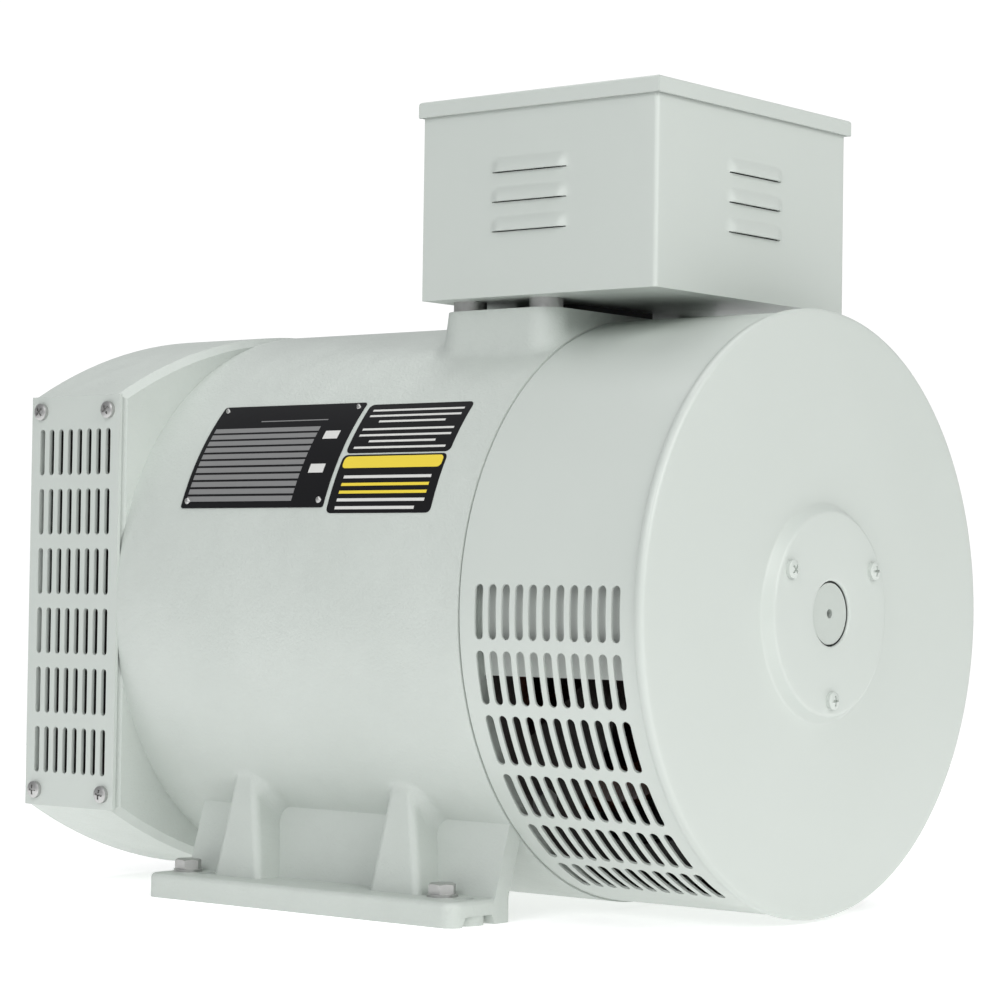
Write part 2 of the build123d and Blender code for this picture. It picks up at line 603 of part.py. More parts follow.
def drive_end_bracket():
    """Cast hood: front wall with the bearing hub, side windows and four bolt columns."""
    wall = BRACKET_WALL
    body = along_shaft(bracket_section(), BRACKET_FRONT_X, BRACKET_BACK_X)
    rims = body.edges().filter_by(lambda e: abs(e.center().X - BRACKET_BACK_X) < FIT_SEARCH)
    body = chamfer(rims, BRACKET_EDGE)
    rims = body.edges().filter_by(lambda e: abs(e.center().X - BRACKET_FRONT_X) < FIT_SEARCH)
    body = chamfer(rims, BRACKET_EDGE / 2)
    body += disc(BARREL_RADIUS, BRACKET_BACK_X, DRIVE_FACE_X)
    body -= along_shaft(bracket_section(wall), BRACKET_FRONT_X + wall, BRACKET_BACK_X - wall)
    body -= disc(BARREL_BORE - SPIGOT_WALL, BRACKET_BACK_X - wall - 1, DRIVE_FACE_X)
    register_end = DRIVE_FACE_X + SPIGOT_DEPTH - SPIGOT_RELIEF
    body += ring(BARREL_BORE - SPIGOT_CLEARANCE, BARREL_BORE - SPIGOT_WALL, DRIVE_FACE_X, register_end)
    hub = DRIVE_BEARING_RADIUS + HUB_WALL
    body += disc(hub, BRACKET_FRONT_X, BRACKET_FRONT_X + HUB_DEPTH - FAN_CLEARANCE)
    for i in range(4):
        rib = Pos(0, (hub + BOLT_CIRCLE) / 2) * Rectangle(HUB_RIB_THICKNESS, BOLT_CIRCLE - hub + 6)
        rib_end = BRACKET_FRONT_X + HUB_DEPTH / 2
        body += along_shaft(Rot(0, 0, 45 + 90 * i) * rib, BRACKET_FRONT_X + wall - 1, rib_end)
    column_start = BRACKET_FRONT_X + wall - 1
    for y, z in CORNER_BOLTS:
        column = station(column_start, y, z) * Circle(COLUMN_RADIUS)
        column = extrude(column, amount=DRIVE_FACE_X - column_start)
        body += column & disc(BARREL_BORE, column_start, DRIVE_FACE_X)
        pad = station(DRIVE_FACE_X, y, z) * Circle(REGISTER_PAD_RADIUS)
        body += extrude(pad, amount=SPIGOT_DEPTH)
    body = drilled(body, M8[0], CORNER_BOLTS, BRACKET_FRONT_X - 1, DRIVE_FACE_X + SPIGOT_DEPTH + 1)
    body -= disc(DRIVE_BEARING_RADIUS, BRACKET_FRONT_X, BRACKET_FRONT_X + DRIVE_BEARING_WIDTH)
    body -= disc(DRIVE_BEARING_RADIUS - RACE_THICKNESS, BRACKET_FRONT_X, BRACKET_BACK_X)
    body = drilled(body, M5[0], BEARING_CAP_SCREWS, BRACKET_FRONT_X - 1, BRACKET_FRONT_X + SCREW_ENGAGEMENT)
    window_z = BRACKET_CORNER_Z - VENT_WINDOW_LAND
    window = block(BRACKET_FRONT_X + wall, BRACKET_BACK_X - wall,
                   BRACKET_HALF_WIDTH - wall - 1, BRACKET_HALF_WIDTH + 1,
                   SHAFT_HEIGHT - window_z, SHAFT_HEIGHT + window_z)
    body -= both_sides(window)
    for x, z in vent_screw_points():
        for side in (-1, 1):
            hole_start = Plane(origin=(x, side * BRACKET_HALF_WIDTH, z), z_dir=(0, -side, 0))
            body -= extrude(hole_start * Circle(M5[0]), amount=SCREW_ENGAGEMENT)
    return body


def vent_screw_points():
    """Screw places (x, z) at the corners of a vent plate."""
    xs = (BRACKET_FRONT_X + VENT_PLATE_EDGE, BRACKET_BACK_X - VENT_PLATE_EDGE)
    rise = BRACKET_CORNER_Z - VENT_PLATE_EDGE
    return [(x, SHAFT_HEIGHT + z) for x in xs for z in (-rise, rise)]


def vent_plate(side):
    """Flat plate with a grid of upright slots, on the -Y (side -1) or +Y (side 1) flank."""
    face_y = side * (BRACKET_HALF_WIDTH + VENT_PLATE)
    outline = Plane(origin=(VENT_CENTRE_X, face_y, SHAFT_HEIGHT), x_dir=(1, 0, 0), z_dir=(0, -1, 0))
    grid = GridLocations(VENT_SLOT_PITCH_X, VENT_SLOT_PITCH_Z, VENT_COLUMNS, VENT_ROWS)
    face = Rectangle(BRACKET_DEPTH, 2 * BRACKET_CORNER_Z)
    face -= grid * Rectangle(VENT_SLOT_WIDTH, VENT_SLOT_HEIGHT)
    face -= [Pos(x - VENT_CENTRE_X, z - SHAFT_HEIGHT) * Circle(M5[0]) for x, z in vent_screw_points()]
    return extrude(outline * face, amount=side * VENT_PLATE)


def vent_plate_screws():
    length = VENT_PLATE + SCREW_ENGAGEMENT
    seat = BRACKET_HALF_WIDTH + VENT_PLATE
    return [screw(M5, length, (0, side, 0), (x, side * seat, z))
            for side in (-1, 1) for x, z in vent_screw_points()]


def drive_bearing_cap():
    outer = DRIVE_BEARING_RADIUS + HUB_WALL
    bore = DRIVE_JOURNAL_RADIUS + SHIELD_CLEARANCE
    cap = ring(outer, bore, BRACKET_FRONT_X - BEARING_CAP_THICKNESS, BRACKET_FRONT_X)
    return drilled(cap, M5[0], BEARING_CAP_SCREWS, BRACKET_FRONT_X - BEARING_CAP_THICKNESS, BRACKET_FRONT_X)


def bearing_cap_screws():
    seat = BRACKET_FRONT_X - BEARING_CAP_THICKNESS
    length = BEARING_CAP_THICKNESS + SCREW_ENGAGEMENT
    return [screw(M5, length, (-1, 0, 0), (seat, y, SHAFT_HEIGHT + z)) for y, z in BEARING_CAP_SCREWS]


def drive_bracket_bolts():
    length = DRIVE_FACE_X + SPIGOT_DEPTH + TIE_BOLT_ENGAGEMENT - 1 - BRACKET_FRONT_X
    return [hex_bolt(M8, length, (-1, 0, 0), (BRACKET_FRONT_X, y, SHAFT_HEIGHT + z)) for y, z in CORNER_BOLTS]


# --- Rear bracket: windowed plate with the rear bearing hub and posts for the end cap ---
def rear_end_bracket():
    plate_end = REAR_FACE_X + REAR_PLATE
    hub = REAR_BEARING_RADIUS + REAR_HUB_WALL
    body = disc(SHELL_RADIUS - SHELL_SHEET - SPIGOT_CLEARANCE, REAR_FACE_X, plate_end)
    window = sector(REAR_WINDOW_OUTER, hub + 8, REAR_WINDOW_ANGLE)
    for i in range(4):
        body -= along_shaft(Rot(0, 0, 90 * i) * window, REAR_FACE_X, plate_end)
    register_end = REAR_FACE_X - SPIGOT_DEPTH + SPIGOT_RELIEF
    body += ring(BARREL_BORE - SPIGOT_CLEARANCE, BARREL_BORE - SPIGOT_WALL, register_end, REAR_FACE_X)
    for y, z in CORNER_BOLTS:
        pad = station(REAR_FACE_X - SPIGOT_DEPTH, y, z) * Circle(REGISTER_PAD_RADIUS)
        body += extrude(pad, amount=SPIGOT_DEPTH)
    body = drilled(body, M8[0], CORNER_BOLTS, REAR_FACE_X - SPIGOT_DEPTH - 1, plate_end + 1)
    body += disc(hub, REAR_FACE_X, REAR_HUB_X)
    body -= disc(REAR_BEARING_RADIUS, REAR_HUB_X - REAR_BEARING_WIDTH, REAR_HUB_X)
    body -= disc(REAR_BEARING_RADIUS - RACE_THICKNESS, REAR_FACE_X, REAR_HUB_X)
    inside = CAP_BOSS_X - CAP_SHEET
    for y, z in CAP_SCREWS:
        post = extrude(station(REAR_HUB_X - 1, y, z) * Circle(POST_RADIUS), amount=inside - REAR_HUB_X + 1)
        body += post - disc(REAR_BEARING_RADIUS, REAR_HUB_X - REAR_BEARING_WIDTH, REAR_HUB_X)
    return drilled(body, M5[0], CAP_SCREWS, inside - 2 * SCREW_ENGAGEMENT, inside)


def rear_bracket_bolts():
    seat = REAR_FACE_X + REAR_PLATE
    length = REAR_BOLT_LENGTH - 1
    return [hex_bolt(M8, length, (1, 0, 0), (seat, y, SHAFT_HEIGHT + z)) for y, z in CORNER_BOLTS]


# --- Slip rings and brush gear ---
def slip_ring_sleeve():
    end = RING_X[-1] + RING_WIDTH + SLEEVE_OVERRUN
    return ring(SLEEVE_RADIUS, SHAFT_TAIL_RADIUS, REAR_HUB_X + 1, end)


def slip_rings():
    return [ring(RING_RADIUS, SLEEVE_RADIUS, x, x + RING_WIDTH) for x in RING_X]


def brush_centre(index):
    return RING_X[index] + RING_WIDTH / 2


def brush(index):
    """A carbon block whose lower face is curved to ride on its slip ring."""
    x, half = brush_centre(index), BRUSH_LENGTH_X / 2
    foot = SHAFT_HEIGHT + RING_RADIUS + BRUSH_GAP
    blank = block(x - half, x + half, -BRUSH_WIDTH / 2, BRUSH_WIDTH / 2, foot - 4, foot + BRUSH_HEIGHT)
    return blank - disc(RING_RADIUS + BRUSH_GAP, x - half - 1, x + half + 1)


def spring_floor():
    return SHAFT_HEIGHT + RING_RADIUS + BRUSH_GAP + BRUSH_HEIGHT


def brush_holder():
    """Moulded block on the rear hub with a guide channel for each brush."""
    bottom = SHAFT_HEIGHT + RING_RADIUS + HOLDER_LIFT
    top = spring_floor() + SPRING_HEIGHT + HOLDER_ROOF
    end = RING_X[-1] + RING_WIDTH
    body = block(REAR_HUB_X, end, -HOLDER_HALF_WIDTH, HOLDER_HALF_WIDTH, bottom, top)
    body = chamfer(body.edges().filter_by(Axis.X), 3)
    for index in range(len(RING_X)):
        half_x, half_y = BRUSH_LENGTH_X / 2 + BRUSH_FIT, BRUSH_WIDTH / 2 + BRUSH_FIT
        x = brush_centre(index)
        body -= block(x - half_x, x + half_x, -half_y, half_y, bottom - 1, top - HOLDER_ROOF)
    for y, z in holder_screw_points():
        body -= extrude(station(REAR_HUB_X, y, z) * Circle(M4[0]), amount=end - REAR_HUB_X)
    return body


def holder_screw_points():
    """Screw places (y, z from the axis) outside the brush channels, on the hub's face."""
    y = (HOLDER_HALF_WIDTH + BRUSH_WIDTH / 2) / 2 + 1
    return [(side * y, REAR_BEARING_RADIUS + REAR_HUB_WALL / 2 - 1) for side in (-1, 1)]


def brush_holder_screws():
    seat = RING_X[-1] + RING_WIDTH
    length = seat - REAR_HUB_X
    return [screw(M4, length, (1, 0, 0), (seat, y, SHAFT_HEIGHT + z)) for y, z in holder_screw_points()]


def brush_spring(index):
    """Folded spring strip between the brush and the roof of its channel."""
    x, half = brush_centre(index), BRUSH_LENGTH_X / 2 - 2
    width = BRUSH_WIDTH - 4
    low, high = SPRING_STRIP / 2, SPRING_HEIGHT - SPRING_STRIP / 2
    rise = (high - low) / (SPRING_FOLDS - 1)
    bends = [((-1) ** i * width / 2, low + i * rise) for i in range(1, SPRING_FOLDS - 1)]
    face = trace(Polyline((0, low), *bends, (0, high)), SPRING_STRIP)
    plane = Plane(origin=(x - half, 0, spring_floor()), x_dir=(0, 1, 0), z_dir=(1, 0, 0))
    return extrude(plane * face, amount=2 * half)


# --- Rear cover: slotted drum, inner baffle and end cap ---
def drum_slot_angles():
    """Mid-angle of each row of slots, measured up from the horizontal."""
    top = DRUM_SLOT_TOP_ANGLE - DRUM_SLOT_ANGLE / 2
    return [top - row * DRUM_SLOT_PITCH_ANGLE for row in range(DRUM_ROWS)]


def rear_cover_shell():
    """Rolled sheet drum with eleven columns of slots down each flank."""
    body = ring(SHELL_RADIUS, SHELL_RADIUS - SHELL_SHEET, REAR_FACE_X, CAP_FACE_X - CAP_SHEET)
    start = REAR_FACE_X + DRUM_SLOT_MARGIN
    cutters = []
    for angle in drum_slot_angles():
        wedge = sector(SHELL_RADIUS + 2, SHELL_RADIUS - 4, DRUM_SLOT_ANGLE)
        for turn in (angle - 90, 90 - angle):
            for column in range(DRUM_COLUMNS):
                x = start + column * DRUM_SLOT_PITCH_X
                cutters.append(along_shaft(Rot(0, 0, turn) * wedge, x, x + DRUM_SLOT_WIDTH))
    return body - cutters


def rear_baffle():
    """Thin rolled guard inside the drum, from its crown down to the middle of the second row of slots."""
    outer = SHELL_RADIUS - SHELL_SHEET - BAFFLE_GAP
    start = REAR_FACE_X + REAR_PLATE
    end = CAP_FACE_X - CAP_SHEET - BAFFLE_END_GAP
    body = ring(outer, outer - BAFFLE_SHEET, start, end)
    reach = outer + 1
    below = block(start - 1, end + 1, -reach, reach, SHAFT_HEIGHT - reach, SHAFT_HEIGHT - BAFFLE_DROP)
    return body - below


def rear_cover_cap():
    """Pressed end cap: flanged disc with a raised centre boss round the shaft opening."""
    outer = SHELL_RADIUS + CAP_SHEET
    boss, slope = CAP_BOSS_RADIUS, CAP_BOSS_SLOPE
    outside = [(0, CAP_BOSS_RISE), (boss - slope, CAP_BOSS_RISE), (boss, 0), (outer - CAP_CORNER, 0),
               (outer, -CAP_CORNER), (outer, -CAP_FLANGE)]
    inside = [(SHELL_RADIUS, -CAP_FLANGE), (SHELL_RADIUS, -CAP_SHEET), (boss - 1, -CAP_SHEET),
              (boss - slope - 1, CAP_BOSS_RISE - CAP_SHEET), (0, CAP_BOSS_RISE - CAP_SHEET)]
    profile = make_face(Polyline(*outside, *inside, close=True))
    plane = Plane(origin=(CAP_FACE_X, 0, SHAFT_HEIGHT), x_dir=(0, 1, 0), z_dir=(0, 0, -1))
    body = revolve(plane * profile, axis=Axis((CAP_FACE_X, 0, SHAFT_HEIGHT), (1, 0, 0)))
    body -= disc(CAP_HOLE_RADIUS, CAP_FACE_X - 10, CAP_BOSS_X + 1)
    return drilled(body, M5[0], CAP_SCREWS, CAP_FACE_X - 10, CAP_BOSS_X + 1)


def cap_screws():
    length = CAP_SHEET + 2 * SCREW_ENGAGEMENT - 1
    return [screw(M5, length, (1, 0, 0), (CAP_BOSS_X, y, SHAFT_HEIGHT + z)) for y, z in CAP_SCREWS]


# --- Terminal box: a folded tray closed by three louvred panels and a lid ---
def louvre_hood(x, y):
    """Pressed hood standing off a panel at (x, y), open underneath."""
    side = Plane(origin=(x - LOUVRE_LENGTH / 2, y, 0), x_dir=(0, 1, 0), z_dir=(1, 0, 0))
    outline = Polyline((0, 0), (0, LOUVRE_RISE), (BOX_SHEET, LOUVRE_RISE), (LOUVRE_HEIGHT, 0), close=True)
    return extrude(side * make_face(outline), amount=LOUVRE_LENGTH)


def louvred_panel(length, shift):
    """A panel hanging down from its top edge, outer face on the local XY plane, with three louvres."""
    panel = Pos(0, -BOX_HEIGHT / 2, -BOX_SHEET / 2) * Box(length, BOX_HEIGHT, BOX_SHEET)
    for i in range(LOUVRE_COUNT):
        y = BOX_SHEET - LOUVRE_TOP - i * LOUVRE_PITCH
        panel += louvre_hood(shift, y)
        mouth = Box(LOUVRE_LENGTH - 2 * LOUVRE_RISE, LOUVRE_MOUTH, 4 * BOX_SHEET)
        panel -= Pos(shift, y + LOUVRE_MOUTH / 2) * mouth
    return panel


def box_side_panel(side):
    """The louvred panel over the whole -Y (side -1) or +Y (side 1) face of the box."""
    top = (BOX_CENTRE_X, side * BOX_WIDTH / 2, BOX_TOP_Z)
    frame = Plane(origin=top, x_dir=(-side, 0, 0), z_dir=(0, side, 0))
    return frame * louvred_panel(BOX_LENGTH, side * LOUVRE_SHIFT)


def lid_tabs(wall_x, way):
    """Folded tabs that take the lid screws, from a wall's inner face at wall_x into the box."""
    tabs = []
    for x, y in lid_screw_points():
        if (x - BOX_CENTRE_X) * way < 0:
            depth = abs(wall_x - x) + LID_TAB / 2
            tab = Pos(wall_x + way * depth / 2, y, BOX_TOP_Z - BOX_SHEET / 2) * Box(depth, LID_TAB, BOX_SHEET)
            tabs.append(tab - Pos(x, y, BOX_TOP_Z) * Cylinder(M4[0], 4 * BOX_SHEET))
    return tabs


def box_rear_panel():
    """The louvred panel between the side panels at the rear end, with its two lid tabs."""
    frame = Plane(origin=(BOX_END_X, 0, BOX_TOP_Z), x_dir=(0, 1, 0), z_dir=(1, 0, 0))
    panel = frame * louvred_panel(BOX_WIDTH - 2 * BOX_SHEET, 0)
    return panel + lid_tabs(BOX_END_X - BOX_SHEET, -1)


def box_drive_panel():
    """The plain panel between the side panels at the drive end: the cable's hole and two lid tabs."""
    half_y = BOX_WIDTH / 2 - BOX_SHEET
    panel = block(BOX_START_X, BOX_START_X + BOX_SHEET, -half_y, half_y, BOX_FLOOR_Z, BOX_TOP_Z)
    panel -= extrude(cable_plane() * Circle(CABLE_HOLE_RADIUS), amount=3 * BOX_SHEET, both=True)
    return panel + lid_tabs(BOX_START_X + BOX_SHEET, 1)


def terminal_box():
    """Floor of the box, between its four panels, drilled for the leads and the bolts."""
    half_y = BOX_WIDTH / 2 - BOX_SHEET
    start, end = BOX_START_X + BOX_SHEET, BOX_END_X - BOX_SHEET
    body = block(start, end, -half_y, half_y, BOX_FLOOR_Z, BOX_FLOOR_Z + BOX_SHEET)
    passage = Box(LEAD_PASSAGE_LENGTH, LEAD_PASSAGE_WIDTH, 4 * BOX_SHEET)
    body -= Pos(PEDESTAL_CENTRE_X, 0, BOX_FLOOR_Z) * passage
    for x, y in box_bolt_points():
        body -= Pos(x, y, BOX_FLOOR_Z) * Cylinder(M5[0], 4 * BOX_SHEET)
    return body


def terminal_box_lid():
    """Shallow folded lid that drops over the box's rim."""
    gap = LID_CLEARANCE
    half_x, half_y = BOX_LENGTH / 2 + gap + BOX_SHEET, BOX_WIDTH / 2 + gap + BOX_SHEET
    skirt = BOX_TOP_Z + BOX_SHEET - LID_SKIRT
    body = block(BOX_CENTRE_X - half_x, BOX_CENTRE_X + half_x, -half_y, half_y, skirt, BOX_TOP_Z + BOX_SHEET)
    body -= block(BOX_CENTRE_X - half_x + BOX_SHEET, BOX_CENTRE_X + half_x - BOX_SHEET,
                  -half_y + BOX_SHEET, half_y - BOX_SHEET, skirt - 1, BOX_TOP_Z)
    for x, y in lid_screw_points():
        body -= Pos(x, y, BOX_TOP_Z) * Cylinder(M4[0], 4 * BOX_SHEET)
    return body


def lid_screws():
    seat = BOX_TOP_Z + BOX_SHEET
    return [screw(M4, SCREW_ENGAGEMENT, (0, 0, 1), (x, y, seat)) for x, y in lid_screw_points()]


def box_spacers():
    spacer = Cylinder(SPACER_RADIUS, BOX_LIFT) - Cylinder(M5[0], BOX_LIFT)
    return [Pos(x, y, PEDESTAL_Z + BOX_LIFT / 2) * spacer for x, y in box_bolt_points()]


def box_bolts():
    length = BOX_SHEET + BOX_LIFT + SCREW_ENGAGEMENT - 1
    return [screw(M5, length, (0, 0, 1), (x, y, BOX_FLOOR_Z + BOX_SHEET)) for x, y in box_bolt_points()]


def lead_gasket():
    """Rubber collar that closes the gap round the leads between pedestal and box."""
    hole = Rectangle(LEAD_PASSAGE_LENGTH, LEAD_PASSAGE_WIDTH)
    collar = RectangleRounded(LEAD_PASSAGE_LENGTH + 12, LEAD_PASSAGE_WIDTH + 12, 6) - hole
    return extrude(Plane((PEDESTAL_CENTRE_X, 0, PEDESTAL_Z)) * collar, amount=BOX_LIFT)


def cable_plane():
    """Where the outgoing cable passes the drive-end wall, facing out."""
    origin = (BOX_START_X, 0, BOX_FLOOR_Z + CABLE_HEIGHT)
    return Plane(origin=origin, x_dir=(0, 1, 0), z_dir=(-1, 0, 0))


def cable_bush():
    """Rubber bush gripping the edge of the cable hole."""
    plane = cable_plane()
    flange = CABLE_HOLE_RADIUS + CABLE_BUSH_FLANGE
    body = extrude(plane * Circle(CABLE_HOLE_RADIUS), amount=-CABLE_BUSH_LENGTH + CABLE_BUSH_FLANGE)
    body += extrude(plane * Circle(flange), amount=CABLE_BUSH_FLANGE)
    inner = plane.offset(-BOX_SHEET)
    body += extrude(inner * Circle(flange), amount=-CABLE_BUSH_FLANGE + BOX_SHEET)
    return body - extrude(plane * Circle(CABLE_BORE_RADIUS), amount=CABLE_BUSH_LENGTH, both=True)


def board_origin():
    """Centre of the terminal board, on the box floor beyond the pedestal."""
    return (BOX_END_X - BOX_SHEET - 8 - BOARD_LENGTH / 2, 0, BOX_FLOOR_Z + BOX_SHEET)


def terminal_board():
    x, y, z = board_origin()
    half = BOARD_LENGTH / 2
    board = block(x - half, x + half, -BOARD_WIDTH / 2, BOARD_WIDTH / 2, z, z + BOARD_THICKNESS)
    board = chamfer(board.faces().sort_by(Axis.Z)[-1].edges(), 1.5)
    for sx, sy in stud_points():
        board -= Pos(sx, sy, z) * Cylinder(STUD_RADIUS, 4 * BOARD_THICKNESS)
    return board


def stud_points():
    x, y, _ = board_origin()
    first = -(STUD_COUNT - 1) * STUD_PITCH / 2
    rows = (x - BOARD_LENGTH / 4, x + BOARD_LENGTH / 4)
    return [(row, first + i * STUD_PITCH) for row in rows for i in range(STUD_COUNT)]


def terminal_studs():
    z = board_origin()[2]
    length = BOARD_THICKNESS + STUD_HEIGHT
    return [Pos(x, y, z + length / 2) * Cylinder(STUD_RADIUS, length) for x, y in stud_points()]


def terminal_nuts():
    z = board_origin()[2] + BOARD_THICKNESS
    face = RegularPolygon(NUT_FLATS / 2, 6, major_radius=False) - Circle(STUD_RADIUS)
    return [extrude(Plane((x, y, z)) * face, amount=NUT_HEIGHT) for x, y in stud_points()]


def voltage_regulator():
    """Potted regulator module with cooling ribs, standing inside the drive-end wall."""
    depth, width, height = REGULATOR_SIZE
    x = BOX_START_X + BOX_SHEET
    z = BOX_TOP_Z - 2 * BOX_SHEET - height - REGULATOR_DROP
    body = block(x, x + depth, -width / 2, width / 2, z, z + height)
    ribs = 5
    for i in range(ribs):
        y = -width / 2 + width * (i + 0.5) / ribs
        body -= block(x + depth - 6, x + depth + 1, y - 4, y + 4, z - 1, z + height + 1)
    return body


# --- The assembly: one named node for each piece, or for each set of identical fasteners ---
def build():
    drive_outer, drive_inner = bearing(
        DRIVE_BEARING_RADIUS, DRIVE_JOURNAL_RADIUS, BRACKET_FRONT_X, DRIVE_BEARING_WIDTH)
    rear_outer, rear_inner = bearing(
        REAR_BEARING_RADIUS, REAR_JOURNAL_RADIUS, REAR_HUB_X - REAR_BEARING_WIDTH, REAR_BEARING_WIDTH)
    return {
        "stator_frame": stator_frame(),
        "foot_bolts": foot_bolts(),
        "foot_washers": foot_washers(),
        "stator_core": stator_core(),
        "stator_windings": stator_windings(),
        "rotor_core": rotor_core(),
        "field_coils": field_coils(),
        "shaft": shaft(),
        "cooling_fan": cooling_fan(),
        "drive_end_bracket": drive_end_bracket(),
        "vent_plate_near": vent_plate(-1),
        "vent_plate_far": vent_plate(1),
        "vent_plate_screws": vent_plate_screws(),
        "drive_bearing_outer_race": drive_outer,
        "drive_bearing_inner_race": drive_inner,
        "drive_bearing_cap": drive_bearing_cap(),
        "bearing_cap_screws": bearing_cap_screws(),
        "drive_bracket_bolts": drive_bracket_bolts(),
        "rear_end_bracket": rear_end_bracket(),
        "rear_bracket_bolts": rear_bracket_bolts(),
        "rear_bearing_outer_race": rear_outer,
        "rear_bearing_inner_race": rear_inner,
        "slip_ring_sleeve": slip_ring_sleeve(),
        "slip_rings": slip_rings(),
        "brush_holder": brush_holder(),
        "brush_holder_screws": brush_holder_screws(),
        "brush_inner": brush(0),
        "brush_outer": brush(1),
        "brush_spring_inner": brush_spring(0),
        "brush_spring_outer": brush_spring(1),
        "rear_cover_shell": rear_cover_shell(),
        "rear_baffle": rear_baffle(),
        "rear_cover_cap": rear_cover_cap(),
        "cap_screws": cap_screws(),
        "terminal_box": terminal_box(),
        "box_panel_drive": box_drive_panel(),
        "box_panel_near": box_side_panel(-1),
        "box_panel_far": box_side_panel(1),
        "box_panel_rear": box_rear_panel(),
        "terminal_box_lid": terminal_box_lid(),
        "lid_screws": lid_screws(),
        "box_spacers": box_spacers(),
        "box_bolts": box_bolts(),
        "lead_gasket": lead_gasket(),
        "cable_bush": cable_bush(),
        "terminal_board": terminal_board(),
        "terminal_studs": terminal_studs(),
        "terminal_nuts": terminal_nuts(),
        "voltage_regulator": voltage_regulator(),
    }


os.makedirs("parts", exist_ok=True)
for name, shape in build().items():
    solids = shape if isinstance(shape, list) else [shape]
    export_step(Compound([solid for piece in solids for solid in piece.solids()]), f"parts/{name}.step")
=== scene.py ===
import math

import bpy
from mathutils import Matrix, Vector


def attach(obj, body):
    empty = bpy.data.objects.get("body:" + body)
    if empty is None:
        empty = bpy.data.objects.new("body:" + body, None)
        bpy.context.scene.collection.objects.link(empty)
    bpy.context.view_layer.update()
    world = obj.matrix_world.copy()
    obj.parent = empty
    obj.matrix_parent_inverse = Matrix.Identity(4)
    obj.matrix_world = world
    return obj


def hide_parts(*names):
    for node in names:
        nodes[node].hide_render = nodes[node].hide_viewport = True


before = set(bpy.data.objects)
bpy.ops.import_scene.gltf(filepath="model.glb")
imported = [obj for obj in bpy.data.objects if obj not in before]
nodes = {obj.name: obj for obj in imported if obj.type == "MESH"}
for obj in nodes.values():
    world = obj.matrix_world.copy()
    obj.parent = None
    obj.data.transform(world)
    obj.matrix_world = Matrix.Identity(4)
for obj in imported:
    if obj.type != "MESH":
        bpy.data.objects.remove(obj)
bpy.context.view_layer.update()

# The stator frame is a grey-iron sand casting: barrel, feet, gussets and pedestal in one, under one
# coat of pale grey-green machinery enamel. The skin keeps a faint sand texture and slow
# undulations, and the enamel gathers a little darker where it was sprayed thin.
MM = 0.001
SHAFT_Z = 160.0
BARREL_RADIUS = 157.5
ENAMEL = (0.560, 0.600, 0.566)
ENAMEL_THIN = (0.505, 0.545, 0.510)
SAND_GRAIN = 0.0016
CAST_WAVE = 0.028


class Wire:
    """A shader socket that takes part in Python sums."""

    def __init__(self, finish, socket):
        self.finish, self.socket = finish, socket

    def combine(self, operation, left, right, clamp=False):
        settings = {"operation": operation, "use_clamp": clamp}
        node = self.finish.add("ShaderNodeMath", settings, {0: left, 1: right})
        return Wire(self.finish, node.outputs[0])

    def __add__(self, other):
        return self.combine("ADD", self, other)

    def __radd__(self, other):
        return self.combine("ADD", other, self)

    def __sub__(self, other):
        return self.combine("SUBTRACT", self, other)

    def __rsub__(self, other):
        return self.combine("SUBTRACT", other, self)

    def __mul__(self, other):
        return self.combine("MULTIPLY", self, other)

    def __rmul__(self, other):
        return self.combine("MULTIPLY", other, self)

    def __gt__(self, other):
        return self.combine("GREATER_THAN", self, other)

    def __lt__(self, other):
        return self.combine("LESS_THAN", self, other)

    def clamped(self):
        return self.combine("ADD", self, 0.0, clamp=True)


